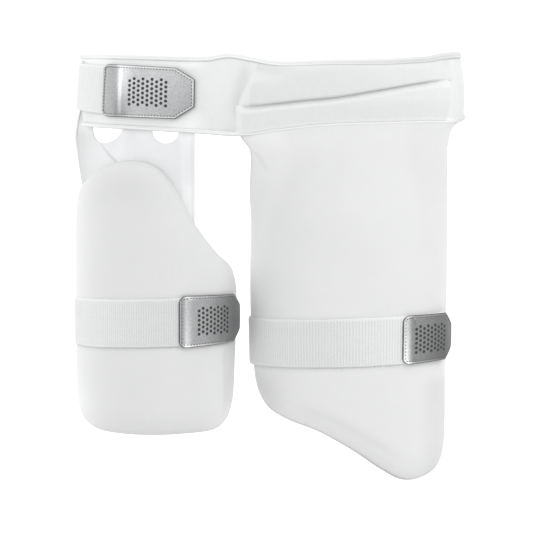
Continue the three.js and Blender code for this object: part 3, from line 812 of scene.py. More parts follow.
def tab_skin(place, tab):
    """The tab on a grid of share along and share across, finer at both ends: its face follows tab_height, its
    back lies on the elastic. Gives a shell, its cloth coordinates in millimetres and its tones."""
    near = np.linspace(0, TAB_GRID["end_share"], TAB_GRID["ends"])
    far = np.linspace(1 - TAB_GRID["end_share"], 1, TAB_GRID["ends"])
    share = np.unique(np.concatenate([fine_ends(TAB_GRID["along"]), near, far]))
    share, v = np.meshgrid(share, 2 * fine_ends(TAB_GRID["across"]) - 1, indexing="ij")
    across = v * tab_half_width(tab, share)
    face = tab_point(place, tab, share, across, tab_height(tab, share, across))
    uv = np.stack([share * tab["length"], across], -1)
    tone = tab_tone(tab, share, v, tab_inset(tab, share, across))
    points, faces = shell(face, tab_point(place, tab, share, across, 0))
    back = np.full(tone.size, TAB_BACK_TONE)
    return points, faces, np.concatenate([uv.reshape(-1, 2)] * 2), np.concatenate([tone.ravel(), back])


def tab_seam(place, tab):
    """The seam's line: round the tab's edge at the seam's inset, and the same line one millimetre further
    out. Points that fall together are left out."""
    inset, ends = TAB_SEAM["inset"], TAB_SEAM["ends"]
    share = np.linspace(inset / tab["length"], 1 - inset / tab["length"], TAB_SEAM["sides"])
    reach = tab_half_width(tab, share) - inset / np.where(1 - share < TAB["chamfer_run"], TAB["slant"], 1)
    side = np.linspace(-1, 1, ends)
    shares = np.concatenate([np.full(ends, share[0]), share, np.full(ends, share[-1]), share[::-1]])
    ways = np.concatenate([side * reach[0], reach, -side * reach[-1], -reach[::-1]])
    out = tab_height(tab, shares, ways) + TAB_SEAM["proud"]
    keep = np.concatenate([[True], np.hypot(np.diff(shares) * tab["length"], np.diff(ways)) > 1e-6])
    return tab_point(place, tab, shares, ways, out)[keep], tab_point(place, tab, shares, ways, out + 1)[keep]


def grip_dots(place, tab):
    """A block of small domes on the tab's face: each has rings of points on three heights and a flat top."""
    column, row = np.meshgrid(np.arange(GRIP["columns"]), np.arange(GRIP["rows"]), indexing="ij")
    x = (column - (GRIP["columns"] - 1) / 2) * GRIP["pitch"] + tab["grip"] * tab["length"]
    y = (row - (GRIP["rows"] - 1) / 2) * GRIP["pitch"] + (column % 2 - 0.5) * GRIP["pitch"] / 2
    sides, levels = GRIP["sides"], len(GRIP_DOME["level"])
    turn = np.linspace(0, 2 * np.pi, sides, endpoint=False)
    level = np.array(GRIP_DOME["level"])[:, None] * GRIP["height"]
    radius = np.array(GRIP_DOME["radius"])[:, None] * GRIP["radius"]
    share = (x.reshape(-1, 1, 1) + radius * np.cos(turn)) / tab["length"]
    across = y.reshape(-1, 1, 1) + radius * np.sin(turn)
    base = tab_height(tab, share, across) - GRIP["sunk"]
    points = tab_point(place, tab, share, across, base + level)
    quads = grid_quads(levels, sides, closed=True)[:, ::-1]
    first = np.arange(x.size)[:, None] * levels * sides
    faces = (first[:, :, None] + quads).reshape(-1, 4).tolist()
    faces += (first + np.arange((levels - 1) * sides, levels * sides)).tolist()
    faces += (first + np.arange(sides - 1, -1, -1)).tolist()
    return points.reshape(-1, 3), faces


def silver_leather():
    """Silver coated synthetic leather: a fine pebbled grain, half metallic, rougher in its hollows."""
    material, tree, shader = new_finish("silver_tab", 0.4)
    place = own_place(tree)
    pebble = add_node(tree, "ShaderNodeTexVoronoi", {"Vector": place, "Scale": 900}).outputs["Distance"]
    cloud = add_noise(tree, place, scale=620, detail=4, roughness=0.85)
    add_colour(tree, shader, cloud, SILVER)
    rough = add_node(tree, "ShaderNodeMapRange", {"Value": cloud, "To Min": 0.24, "To Max": 0.44})
    tree.links.new(rough.outputs["Result"], shader.inputs["Roughness"])
    add_bump(tree, shader, add_maths(tree, "ADD", pebble, cloud), strength=0.35, distance=0.0003)
    shader.inputs["Metallic"].default_value = 0.75
    return material


def grip_rubber():
    """Dark printed rubber: matte, with a faint grain."""
    material, tree, shader = new_finish("grip_rubber", 0.6)
    grain = add_noise(tree, own_place(tree), scale=1800, detail=2)
    shade = [GRIP_DARK, tuple(GRIP_WORN * c for c in GRIP_DARK[:3]) + (1,)]
    add_colour(tree, shader, grain, shade)
    add_bump(tree, shader, grain, strength=0.2, distance=0.0002)
    return material


SILVER_LEATHER = silver_leather()
GREY_THREAD = sewing_thread("silver_thread", SILVER_THREAD)
RUBBER = grip_rubber()


def put_tab(name, node, place, tab, length):
    """One hook tab: its skin, its seam and its grip dots."""
    tab = dict(tab, length=length)
    pieces = [
        (put_mesh(f"{name}_skin", *tab_skin(place, tab)), SILVER_LEATHER),
        (put_mesh(f"{name}_seam", *stitches(*tab_seam(place, tab), TAB_STITCH)), GREY_THREAD),
        (put_mesh(f"{name}_grip", *grip_dots(place, tab)), RUBBER),
    ]
    for piece, finish in pieces:
        piece.data.materials.append(finish)
        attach(piece, "root")
    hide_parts(node)


put_tab("waist_hook_tab", "waist_tab", on_elastic, WAIST_TAB, WAIST_TAB["end"] - WAIST_TAB["start"])


# The hanger panel
# One layer of thin white knit that hangs from inside the belt and carries the inner pad. It has two punched
# holes, a rolled left edge that stands away from the hip, and a wide turned hem on the right.
INNER_LEG = dict(x=-122.3, y=-42, width=(78.2, 86.2), depth=(69.8, 88), taper=0.6, back=82, border=27)
TAPER = dict(start=-190, end=-290)
HANGER = dict(waist=(-262, -78), thigh=(-100, 34.2), top=12, bottom=-190, turn=(-38, -95))
HANGER_CLOTH = dict(thick=1.4, clear=1.2)
HANGER_CURL = dict(
    z=[-150, -120, -100, -91, -75, -60, -38, -27, -13, 0, 12],
    reach=[0, 0.3, 2.6, 4.6, 6.2, 7.4, 10.6, 10, 7.4, 2.8, 0],
)
HANGER_FREE = dict(start=-222, end=-262)
HANGER_HOLES = [
    dict(along=-183, z=-28.5, radius=20, stretch=1.28),
    dict(along=-109, z=-35, radius=14.4, stretch=1),
]
HANGER_PRESS = 1.6
# HANGER_HEM's light and line, HANGER_SHADOW, HANGER_SHADE and HANGER_EDGE paint light and shade on the panel:
# paler on the doubled hem, a shade line beside it, a shadow under the fold, darker to the left, paler below
# the belt, and a shadow line and a paler roll at the left edge.
HANGER_HEM = dict(width=16, ramp=2.5, rise=0.3, light=0.06, line=0.1, line_at=3, line_width=0.8)
HANGER_ROLLS = [dict(rise=1.1, along=-259.8, width=1.7), dict(rise=0.5, along=-79.6, width=1.2)]
HANGER_FOLD = dict(along=-187, z=-49, slant=(0.66, 0.75), rise=1.8, near=(-1.2, 1.2), far=(16, 1.2))
HANGER_FOLDED = dict(top=(-44, -52), foot=(-84, -66), along=-174, width=22)
HANGER_SHADOW = dict(dark=0.2, at=-0.6, width=1.3)
HANGER_RIPPLE = dict(rise=1.3, shift=20, length=4.6, along=-143, along_width=20, z=-52, z_width=22)
HANGER_SHADE = dict(left=0.7, right=0.97, run=(-274, -144), under_belt=0.1, under_at=-2, under_width=7)
HANGER_EDGE = [
    dict(along=-250, width=2.6, low=-0.1, high=-0.35),
    dict(along=-260, width=5, low=0.08, high=0.22),
]
HANGER_EDGE_RUN = (-48, -28)
HANGER_GRID = 150
PANEL_WHITE = [(0.9, 0.906, 0.914, 1), (0.93, 0.936, 0.942, 1)]


def on_thigh(leg, turn, z, width, depth):
    """A point of a thigh's oval by its turn from the front in degrees. The oval narrows towards the knee."""
    angle = np.radians(turn)
    side = width - leg["taper"] * ease(z, TAPER["start"], TAPER["end"])
    x = leg["x"] + side * np.sin(angle)
    return np.stack(np.broadcast_arrays(x, leg["y"] - depth * np.cos(angle), z), -1)


def on_hanger(along, z, out):
    """A point of the panel: on the waist under the belt, on the inner thigh lower down, blended by height,
    with an outward curl at its free left edge."""
    share = (along - HANGER["waist"][0]) / (HANGER["waist"][1] - HANGER["waist"][0])
    free = ease(along, HANGER_FREE["start"], HANGER_FREE["end"])
    out = out + free * lookup(HANGER_CURL, "z", "reach", z)
    waist = on_waist(along, z, ELASTIC["on_body"] + out)
    inside = 2 * HANGER_CLOTH["thick"] + HANGER_CLOTH["clear"]
    width, depth = INNER_LEG["width"][0] - inside, INNER_LEG["depth"][0] - inside
    thigh = on_thigh(INNER_LEG, lerp(*HANGER["thigh"], share), z, width + out, depth + out)
    return lerp(waist, thigh, ease(z, *HANGER["turn"])[..., None])


def hanger_folds(along, z):
    """Relief and tone of the cloth: a fold that slants from the first hole to the pad and lies over itself,
    soft upright ripples between the holes, the wide hem's step and rolled edges. The tone is painted light
    and shade: darker to the left, under the fold and beside the hems, paler below the belt and on the
    doubled hem, and a shadow line and a paler roll at the left edge."""
    fold, folded, ripple, hem = HANGER_FOLD, HANGER_FOLDED, HANGER_RIPPLE, HANGER_HEM
    slant = (along - fold["along"]) * fold["slant"][0] + (z - fold["z"]) * fold["slant"][1]
    crossed = lump(along, folded["along"], folded["width"])
    crossed = crossed * ease(z, *folded["top"]) * ease(z, *folded["foot"])
    relief = fold["rise"] * ease(slant, *fold["near"]) * ease(slant, *fold["far"]) * crossed
    rippled = lump(along, ripple["along"], ripple["along_width"]) * lump(z, ripple["z"], ripple["z_width"])
    relief = relief + ripple["rise"] * np.sin((along + ripple["shift"]) / ripple["length"]) * rippled
    end = HANGER["waist"][1]
    step = end - hem["width"]
    doubled = ease(along, step - hem["ramp"], step + hem["ramp"])
    relief = relief + hem["rise"] * doubled
    for roll in HANGER_ROLLS:
        relief = relief + roll["rise"] * lump(along, roll["along"], roll["width"])
    shade, shadow = HANGER_SHADE, HANGER_SHADOW
    tone = lerp(shade["left"], shade["right"], ease(along, *shade["run"]))
    tone -= shadow["dark"] * lump(slant, shadow["at"], shadow["width"]) * crossed
    below = z - belt_edge("bottom", along)
    tone += shade["under_belt"] * lump(below, shade["under_at"], shade["under_width"])
    for edge in HANGER_EDGE:
        light = lerp(edge["low"], edge["high"], ease(z, *HANGER_EDGE_RUN))
        tone += light * lump(along, edge["along"], edge["width"])
    tone += hem["light"] * doubled - hem["line"] * lump(along, end - hem["line_at"], hem["line_width"])
    return relief, tone


def hanger_sheet():
    """The panel as a grid with lines at the holes' four sides. Round each hole the squares of the grid are
    pressed into circles, which fades out further away, and the faces inside it are left out."""
    columns = np.linspace(*HANGER["waist"], HANGER_GRID)
    rows = np.linspace(HANGER["bottom"], HANGER["top"], HANGER_GRID)
    for hole in HANGER_HOLES:
        sides = np.array([-hole["radius"], hole["radius"]])
        columns = np.union1d(columns, hole["along"] + sides * hole["stretch"])
        rows = np.union1d(rows, hole["z"] + sides)
    along, z = np.meshgrid(columns, rows, indexing="ij")
    keep = np.ones((len(columns) - 1, len(rows) - 1), bool)
    for hole in HANGER_HOLES:
        dx, dz = (along - hole["along"]) / hole["stretch"], z - hole["z"]
        square = np.maximum(np.abs(dx), np.abs(dz))
        circle = np.maximum(np.hypot(dx, dz), 1e-9)
        press = lerp(1, square / circle, ease(square, HANGER_PRESS * hole["radius"], hole["radius"]))
        along, z = hole["along"] + dx * press * hole["stretch"], hole["z"] + dz * press
        middle = (square[:-1, :-1] + square[1:, 1:] + square[:-1, 1:] + square[1:, :-1]) / 4
        keep &= middle > hole["radius"]
    relief, tone = hanger_folds(along, z)
    points = on_hanger(along, z, HANGER_CLOTH["thick"] + relief)
    faces = grid_quads(len(columns), len(rows))[keep.ravel()]
    used, corners = np.unique(faces, return_inverse=True)
    uv = np.stack([along, z], -1).reshape(-1, 2)[used]
    return points.reshape(-1, 3)[used], corners.reshape(-1, 4).tolist(), uv, tone.ravel()[used]


def thin_knit():
    """Thin knit: fine upright wales, matte, with soft uneven tone."""
    material, tree, shader = new_finish("hanger_cloth", 0.9)
    place = cloth_place(tree)
    add_colour(tree, shader, add_noise(tree, place, scale=0.05, detail=4), PANEL_WHITE)
    wale = add_wave(tree, place, scale=0.3, distortion=0.8)
    add_bump(tree, shader, wale, strength=0.25, distance=0.0002)
    shader.inputs["Sheen Weight"].default_value = 0.15
    return material


hanger = put_mesh("hanger_panel_cloth", *hanger_sheet())
hanger.data.materials.append(thin_knit())
thickness = hanger.modifiers.new("cloth thickness", "SOLIDIFY")
thickness.thickness = HANGER_CLOTH["thick"] * MM
thickness.offset = -1
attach(hanger, "root")
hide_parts("hanger_panel")


# The inner thigh pad
# A moulded foam pad shaped to the thigh, in a white stretch knit cover that is drawn tight and closed by a
# seam just inside its edge. The strap that goes over it presses a shallow band into the foam.
INNER_OUTLINE = [
    (-14, -67),
    (-38, -72),
    (-60, -86),
    (-86, -106),
    (-99, -150),
    (-102, -220),
    (-104, -280),
    (-88, -324),
    (-56, -343.5),
    (-22, -349),
    (22, -349),
    (58, -344.5),
    (81, -319),
    (90, -268),
    (102, -217),
    (82, -183),
    (53, -162),
    (31, -130),
    (19, -100),
    (4, -75),
]
INNER_MIDDLE = (-8, -225)
INNER_STRAP = dict(z=-233.2, tilt=2.4, end=66, pitch=2.5, shade=0.12, dark=20, spread=45)
INNER_FRONT = -4
INNER_RIDGE = dict(turn=54, width=2.2, rise=0.05, top=(-255, -268), foot=(-332, -315))
# INNER_RIDGE_SHADE and the patches below are painted light and shade on the inner pad: shade beside the
# ridge, greyer overall and near the top, paler round the sides and low on the left.
INNER_RIDGE_SHADE = dict(dark=0.065, near=(55, 58), far=(90, 62))
INNER_PAINTED_LIGHT = [
    (0.05, {}),
    (-0.115, dict(side=(30, 76))),
    (0.03, dict(z=(-130, -90))),
    (-0.055, dict(turn=(-30, -70), z=(-280, -320))),
]
OUTLINE_STEPS = 16
PAD_LINING = dict(first=0.06, last=0.95, rings=16)
PAD_FACE = dict(first=0.004, last=0.96, rings=64, power=1.6)
# Painted shade on the pads: PAD_RIM's dark along the free edge, PAD_SEAM's dark in the seam's groove and
# STRAP_LINES' dark beside the strap's edges.
PAD_RIM = dict(crown=0.26, dark=0.14, width=1.4)
PAD_SEAM = dict(inset=3.4, depth=0.018, width=0.9, dark=0.035)
PAD_EDGE = [(0.975, 0), (0.988, 0.01), (0.996, 0.05), (1, 0.1), (1.001, 0.16), (1, 0.21)]
STRAP_DENT = dict(depth=0.045, edge=(29, 23))
STRAP_LINES = [dict(level=-26, width=1.6, dark=0.1), dict(level=26, width=2, dark=0.015)]
COVER = dict(voxel=5, nearby=3, held=0.15, pressure=4, frames=20, cap=2, reach=6, parts=200)
KNIT_WHITE = [(0.785, 0.79, 0.788, 1), (0.815, 0.82, 0.818, 1)]


def spline(corners, steps, closed):
    """A smooth line through corners: between two of them a cubic whose slope at each is half the step between
    its neighbours."""
    p = np.asarray(corners, float)

    def neighbour(k):
        return np.roll(p, -k, 0) if closed else p[np.clip(np.arange(len(p)) + k, 0, len(p) - 1)]

    p0, p1, p2, p3 = (neighbour(k)[:, None, :] for k in (-1, 0, 1, 2))
    m1, m2 = (p2 - p0) / 2, (p3 - p1) / 2
    t = np.linspace(0, 1, steps, endpoint=False)[None, :, None]
    line = (2 * t**3 - 3 * t**2 + 1) * p1 + (t**3 - 2 * t**2 + t) * m1
    line = line + (3 * t**2 - 2 * t**3) * p2 + (t**3 - t**2) * m2
    return line.reshape(-1, 2) if closed else np.concatenate([line[:-1].reshape(-1, 2), p[-1:]])


def inset_from(edge, spots, per_degree):
    """Least distance of each spot to the pieces of an edge line, with turns taken as millimetres of thigh."""
    scale = np.array([per_degree, 1])
    a, b = edge[:-1] * scale, edge[1:] * scale
    way = b - a
    from_a = (spots * scale)[:, None, :] - a
    t = np.clip((from_a * way).sum(-1) / np.maximum((way**2).sum(-1), 1e-9), 0, 1)
    return np.linalg.norm(from_a - t[..., None] * way, axis=-1).min(1)


def pad_skin(leg, outline, free, middle, place, strap, marks):
    """A closed pad in rings that run from its lining's middle, over its rolled edge, to its face's middle.
    Thickness grows as a quarter round from the free edge over the border, less the seam's groove and the
    strap's dent, plus the pad's own marks. Gives points, faces, cloth coordinates, tones and how loose the
    cover is at each point. The tones hold painted shade along the edge, in the seam and beside the strap."""
    per_degree = np.radians(1) * (leg["width"][0] + leg["depth"][0]) / 2
    lining = [(ring, 0) for ring in np.linspace(PAD_LINING["first"], PAD_LINING["last"], PAD_LINING["rings"])]
    inward = 1 - np.linspace(PAD_FACE["first"], PAD_FACE["last"], PAD_FACE["rings"]) ** PAD_FACE["power"]
    rings = [ring for ring, _ in lining + PAD_EDGE] + list(inward)
    crowns = [crown for _, crown in lining + PAD_EDGE]
    spots = np.asarray(middle) + np.asarray(rings)[:, None, None] * (outline - np.asarray(middle))
    crown = np.zeros(spots.shape[:2])
    loose = np.zeros(spots.shape[:2])
    tone = np.ones(spots.shape[:2])
    crown[: len(crowns)] = np.asarray(crowns)[:, None]
    for i in range(len(lining), len(rings)):
        inset = inset_from(free, spots[i], per_degree)
        relief, shade = marks(spots[i, :, 0], spots[i, :, 1], inset)
        seam = lump(inset, PAD_SEAM["inset"], PAD_SEAM["width"])
        tone[i] -= PAD_SEAM["dark"] * seam + PAD_RIM["dark"] * lump(inset, 0, PAD_RIM["width"]) + shade
        if i >= len(crowns):
            crown[i] = lerp(PAD_RIM["crown"], 1, rounded(inset, leg["border"]))
            crown[i] += relief - PAD_SEAM["depth"] * seam
            loose[i] = ease(inset, PAD_SEAM["inset"], leg["border"])
    turn, z = spots[..., 0], spots[..., 1]
    level = z - strap["z"] - strap["tilt"] * np.sin(np.radians(turn))
    under = ease(np.abs(level), *STRAP_DENT["edge"])
    crown -= STRAP_DENT["depth"] * under * (crown > PAD_RIM["crown"])
    for line in STRAP_LINES:
        tone -= line["dark"] * lump(level, line["level"], line["width"])
    pole = under[-1].mean()
    pole_crowns = np.array([0, 1 - STRAP_DENT["depth"] * pole])
    poles = place(np.full(2, middle[0]), np.full(2, middle[1]), pole_crowns)
    count, around = spots.shape[:2]
    first = np.arange(around)
    after = np.roll(first, -1)
    last = (count - 1) * around
    size = count * around
    faces = grid_quads(count, around, closed=True)[:, ::-1].tolist()
    faces += np.stack([np.full(around, size), after, first], -1).tolist()
    faces += np.stack([np.full(around, size + 1), last + first, last + after], -1).tolist()
    spots = np.concatenate([spots.reshape(-1, 2), [middle, middle]])
    points = np.concatenate([place(turn, z, crown).reshape(-1, 3), poles])
    loose = np.concatenate([(loose * (1 - under)).ravel(), [0, 1 - pole]])
    return points, faces, spots * [per_degree, 1], np.concatenate([tone.ravel(), [1, 1]]), loose


def read_points(mesh, field):
    """A field of a mesh's points as rows of three."""
    values = np.empty(len(mesh.vertices) * 3, np.float32)
    mesh.vertices.foreach_get(field, values)
    return values.reshape(-1, 3).astype(float)


def draw_tight(piece, loose):
    """Lets a pad's cover find its own shape: a copy in even faces is inflated as cloth, held where the cover
    is sewn, and how far each place moved out, up to a cap, is carried back to the pad."""
    trial = piece.copy()
    trial.data = piece.data.copy()
    bpy.context.scene.collection.objects.link(trial)
    even = trial.modifiers.new("even faces", "REMESH")
    even.mode = "VOXEL"
    even.voxel_size = COVER["voxel"] * MM
    trial.data = bpy.data.meshes.new_from_object(trial.evaluated_get(bpy.context.evaluated_depsgraph_get()))
    trial.modifiers.clear()
    start, normals = read_points(trial.data, "co"), read_points(trial.data, "normal")
    pad, pad_normals = read_points(piece.data, "co"), read_points(piece.data, "normal")
    step = COVER["nearby"]
    some = pad[None, ::step]
    parts = np.array_split(start, COVER["parts"])
    nearest = np.concatenate([((part[:, None] - some) ** 2).sum(-1).argmin(1) for part in parts]) * step
    held = trial.vertex_groups.new(name="sewn")
    held.add(np.flatnonzero(loose[nearest] < COVER["held"]).tolist(), 1, "REPLACE")
    cover = trial.modifiers.new("cover", "CLOTH")
    cover.settings.use_pressure = True
    cover.settings.uniform_pressure_force = COVER["pressure"]
    cover.settings.effector_weights.gravity = 0
    cover.settings.vertex_group_mass = held.name
    cover.point_cache.frame_end = COVER["frames"]
    for frame_number in range(1, COVER["frames"] + 1):
        bpy.context.scene.frame_set(frame_number)
    moved = read_points(trial.evaluated_get(bpy.context.evaluated_depsgraph_get()).data, "co") - start
    bulge = np.clip((moved * normals).sum(-1), -COVER["cap"] * MM, COVER["cap"] * MM)
    carried = []
    for part in np.array_split(pad, COVER["parts"]):
        far = (((part[:, None] - start[None]) / (COVER["reach"] * MM)) ** 2).sum(-1)
        near = np.exp(-far) + 1e-12
        carried.append((near * bulge).sum(1) / near.sum(1))
    pad += pad_normals * (np.concatenate(carried) * loose)[:, None]
    piece.data.vertices.foreach_set("co", pad.astype(np.float32).ravel())
    piece.data.update()
    bpy.context.scene.frame_set(1)
    bpy.data.objects.remove(trial)


def stretch_knit():
    """Tight stretch knit: upright wales crossed by finer courses, a faint cloudy tone and a soft sheen."""
    material, tree, shader = new_finish("knit_cover", 0.82)
    place = cloth_place(tree)
    add_colour(tree, shader, add_noise(tree, place, scale=0.03, detail=5, roughness=0.6), KNIT_WHITE)
    wale = add_wave(tree, place, scale=0.3, distortion=0.5)
    course = add_wave(tree, place, scale=0.42, distortion=0.5, direction="Y")
    add_bump(tree, shader, add_maths(tree, "MULTIPLY", wale, course), strength=0.3, distance=0.00025)
    shader.inputs["Sheen Weight"].default_value = 0.2
    shader.inputs["Sheen Roughness"].default_value = 0.5
    return material


KNIT = stretch_knit()


def put_pad(name, node, skin):
    """One pad: its skin, drawn tight, in knit."""
    *surface, loose = skin
    piece = put_mesh(name, *surface)
    draw_tight(piece, loose)
    piece.data.materials.append(KNIT)
    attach(piece, "root")
    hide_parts(node)


def on_inner_pad(turn, z, crown):
    """A point of the inner pad: its thickness runs from the lining's oval to the face's."""
    return on_thigh(INNER_LEG, turn, z, lerp(*INNER_LEG["width"], crown), lerp(*INNER_LEG["depth"], crown))


def inner_marks(turn, z, inset):
    """The inner pad's own relief: one upright ridge below the strap, where the foam's face turns to its side.
    Its tone is painted light and shade: greyer overall and near the top, paler round the sides and low on
    the left, and shaded beside the ridge. Gives the change of thickness and of tone."""
    low = ease(z, *INNER_RIDGE["top"]) * ease(z, *INNER_RIDGE["foot"])
    ridge = INNER_RIDGE["rise"] * lump(turn, INNER_RIDGE["turn"], INNER_RIDGE["width"]) * low
    beside = ease(turn, *INNER_RIDGE_SHADE["near"]) * ease(turn, *INNER_RIDGE_SHADE["far"]) * low
    shade = patches(INNER_PAINTED_LIGHT, turn=turn, z=z, side=np.abs(turn - INNER_FRONT))
    return ridge, shade + INNER_RIDGE_SHADE["dark"] * beside


ring = spline(INNER_OUTLINE, OUTLINE_STEPS, closed=True)
free = np.concatenate([ring, ring[:1]])
skin = pad_skin(INNER_LEG, ring, free, INNER_MIDDLE, on_inner_pad, INNER_STRAP, inner_marks)
put_pad("inner_pad_cover", "inner_pad", skin)


# The inner pad's strap and tab
# The same 50 mm elastic. One end is sewn inside the pad's far edge, and the strap goes round the back of the
# thigh and across the pad to a silver hook tab that grips the cover.
STRAP_TUCK = dict(start=-195, end=-255, last=-282, under=1)
STRAP_SINK = 0.5
STRAP_STEPS = 4000
INNER_TAB = dict(
    start=18,
    end=78,
    half=26.8,
    taper=2,
    lift=1.6,
    strip=0.07,
    grip=0.44,
    # The two tone tables below paint the tab's reflections and its highlight line.
    painted_reflection=dict(strip=0.7, near=0.83, far_high=0.52, far_low=0.51),
    painted_highlight=dict(line=0.09, width=(0.034, 0.04), high=0.45, low=0.75),
)


def on_strap(leg, strap, turn, across, out):
    """A point of a thigh strap by its turn: over the pad in front, round the bare thigh behind, and inside
    the pad's far edge at its sewn end."""
    z = strap["z"] + strap["tilt"] * np.sin(np.radians(turn)) + across
    tuck = ease(turn, STRAP_TUCK["start"], STRAP_TUCK["end"])
    inside = -STRAP_TUCK["under"] - ELASTIC["thick"]
    width = lerp(leg["width"][1] - STRAP_SINK, leg["width"][0] + inside, tuck)
    front = lerp(leg["depth"][1] - STRAP_SINK, leg["depth"][0] + inside, tuck)
    depth = np.where(np.cos(np.radians(turn)) < 0, leg["back"], front)
    return on_thigh(leg, turn, z, width + out, depth + out)


def strap_walk(leg, strap):
    """The strap's run in millimetres against its turn, from its sewn end to its tab."""
    turn = np.linspace(STRAP_TUCK["last"], strap["end"], STRAP_STEPS)
    line = on_strap(leg, strap, turn, 0, 0)
    return turn, np.concatenate([[0], np.cumsum(np.linalg.norm(np.diff(line, axis=0), axis=1))])


def put_strap(name, node, leg, strap):
    """One thigh strap as ribbed elastic, its ribs evenly spaced along its run."""
    turn, run = strap_walk(leg, strap)

    def place(along, across, out):
        return on_strap(leg, strap, np.interp(along, run, turn), across, out)

    rings, uv, tone = ribbed_strap(place, (0, run[-1]), strap["pitch"])
    turned = np.interp(uv[..., 0], run, turn)
    # Painted shade: the strap is painted darker round the turn that its dark names, as the light falls off.
    tone = tone - strap["shade"] * lump(turned, strap["dark"], strap["spread"])
    piece = put_mesh(name, *tube(rings), uv, tone)
    piece.data.materials.append(WEBBING)
    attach(piece, "root")
    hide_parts(node)


def put_thigh_tab(name, node, leg, strap, tab):
    """One thigh tab, bent round the pad on top of its strap."""

    def place(turn, across, out):
        return on_strap(leg, strap, turn, across, out)

    length = np.radians(tab["end"] - tab["start"]) * leg["depth"][1]
    put_tab(name, node, place, tab, length)


put_strap("inner_strap_webbing", "inner_strap", INNER_LEG, INNER_STRAP)
put_thigh_tab("inner_hook_tab", "inner_tab", INNER_LEG, INNER_STRAP, INNER_TAB)


# The outer thigh pad
# The longer foam pad for the other thigh, in the same knit cover. Its neck flares into the belt's lower tape,
# where the cover pulls a short slanting fold, and its lower edge slants to a rounded tip over the knee.
OUTER_LEG = dict(x=81.3, y=-41, width=(97, 105.4), depth=(68, 89), taper=1.6, back=92, border=30)
OUTER_WRAP = 97
NECK = dict(
    z=[-190, -110, -58, -44, -36, -31, -26],
    left=[-30, -26.5, -22, -31, -33.4, -34, -35],
    right=[196, 194, 192, 196, 201, 207, 222],
)
NECK_TURN = dict(start=-45, end=-185, thick=6)
NECK_FILL = dict(start=-45, end=-130, least=0.35)
OUTER_OUTLINE = [
    (-97, -42.6),
    (-97, -50),
    (-97, -58),
    (-97, -80),
    (-97, -140),
    (-97, -200),
    (-95, -252),
    (-86, -284),
    (-78, -304.5),
    (-61, -324),
    (-41, -336),
    (-20, -346.5),
    (0, -364.5),
    (18, -385),
    (34, -398),
    (53, -396.5),
    (77, -384.5),
    (93, -363),
    (99, -320),
    (99, -250),
    (98, -150),
    (97, -80),
    (97, -54),
    (97, -40),
    (97, -26),
]
OUTER_MIDDLE = (12, -200)
OUTER_STRAP = dict(z=-253.4, tilt=3.5, end=70, pitch=3.15, shade=0.08, dark=-18, spread=30)
OUTER_TAB = dict(
    start=29.8,
    end=74.5,
    half=25.4,
    taper=1,
    lift=4.6,
    strip=0.12,
    grip=0.47,
    # The two tone tables below paint the tab's reflections and its highlight line.
    painted_reflection=dict(strip=0.8, near=0.55, far_high=0.29, far_low=0.2),
    painted_highlight=dict(line=0.06, width=(0.055, 0.055), high=0.8, low=1.4),
)
OUTER_STEPS = 14
OUTER_TOP = dict(steps=90, first=-37.4, over=1.5, rounds=4)
# The dark of the fold, the hollow and the edge is painted shade, and the patches below paint light and shade
# over the outer pad: darker low on both sides and high on the right, paler high on the left.
OUTER_FOLD = dict(turn=-93, z=-59, across=(0.856, 0.637), along=(0.707, -0.771), depth=0.1, dark=0.07)
OUTER_FOLD_ENDS = dict(width=2.2, start=(-3, 4), end=(28, 14))
OUTER_HOLLOW = dict(inset=17, width=5, depth=0.035, dark=0.03)
OUTER_HOLLOW_ENDS = dict(left=(-38, -18), right=(34, 16), z=(-300, -322))
OUTER_EDGE = dict(width=1.9, dark=0.36, least=0.35, z=(-290, -312), turn=(50, 30))
OUTER_PAINTED_LIGHT = [
    (0.12, dict(z=(-285, -305), turn=(-35, -60))),
    (0.1, dict(z=(-285, -305), turn=(40, 62))),
    (0.035, dict(z=(-250, -215), turn=(38, 56))),
    (-0.05, dict(z=(-250, -215), turn=(-50, -70))),
]


def neck_along(turn, z):
    """Where a turn round the outer thigh meets the waist, at a height of the neck."""
    share = (turn + OUTER_WRAP) / (2 * OUTER_WRAP)
    return lerp(lookup(NECK, "z", "left", z), lookup(NECK, "z", "right", z), share)


def on_outer_pad(turn, z, crown):
    """A point of the outer pad: on the waist under the belt, on the thigh's oval lower down, blended by
    height."""
    fill = crown * lerp(NECK_FILL["least"], 1, ease(z, NECK_FILL["start"], NECK_FILL["end"]))
    thigh = on_thigh(OUTER_LEG, turn, z, lerp(*OUTER_LEG["width"], fill), lerp(*OUTER_LEG["depth"], fill))
    waist = on_waist(neck_along(turn, z), z, BELT["lining"] + NECK_TURN["thick"] * crown)
    return lerp(waist, thigh, ease(z, NECK_TURN["start"], NECK_TURN["end"])[..., None])


def outer_top():
    """The pad's top edge along the underside of the belt's lower tape, from right to left. The belt's edge
    depends on where the neck meets it, and the neck on the height, so a few rounds settle the two."""
    turn = np.linspace(OUTER_WRAP, -OUTER_WRAP, OUTER_TOP["steps"])[1:-1]
    z = np.full(turn.shape, OUTER_TOP["first"])
    for settle in range(OUTER_TOP["rounds"]):
        z = belt_edge("bottom", neck_along(turn, z)) + OUTER_TOP["over"]
    return np.stack([turn, z], -1)


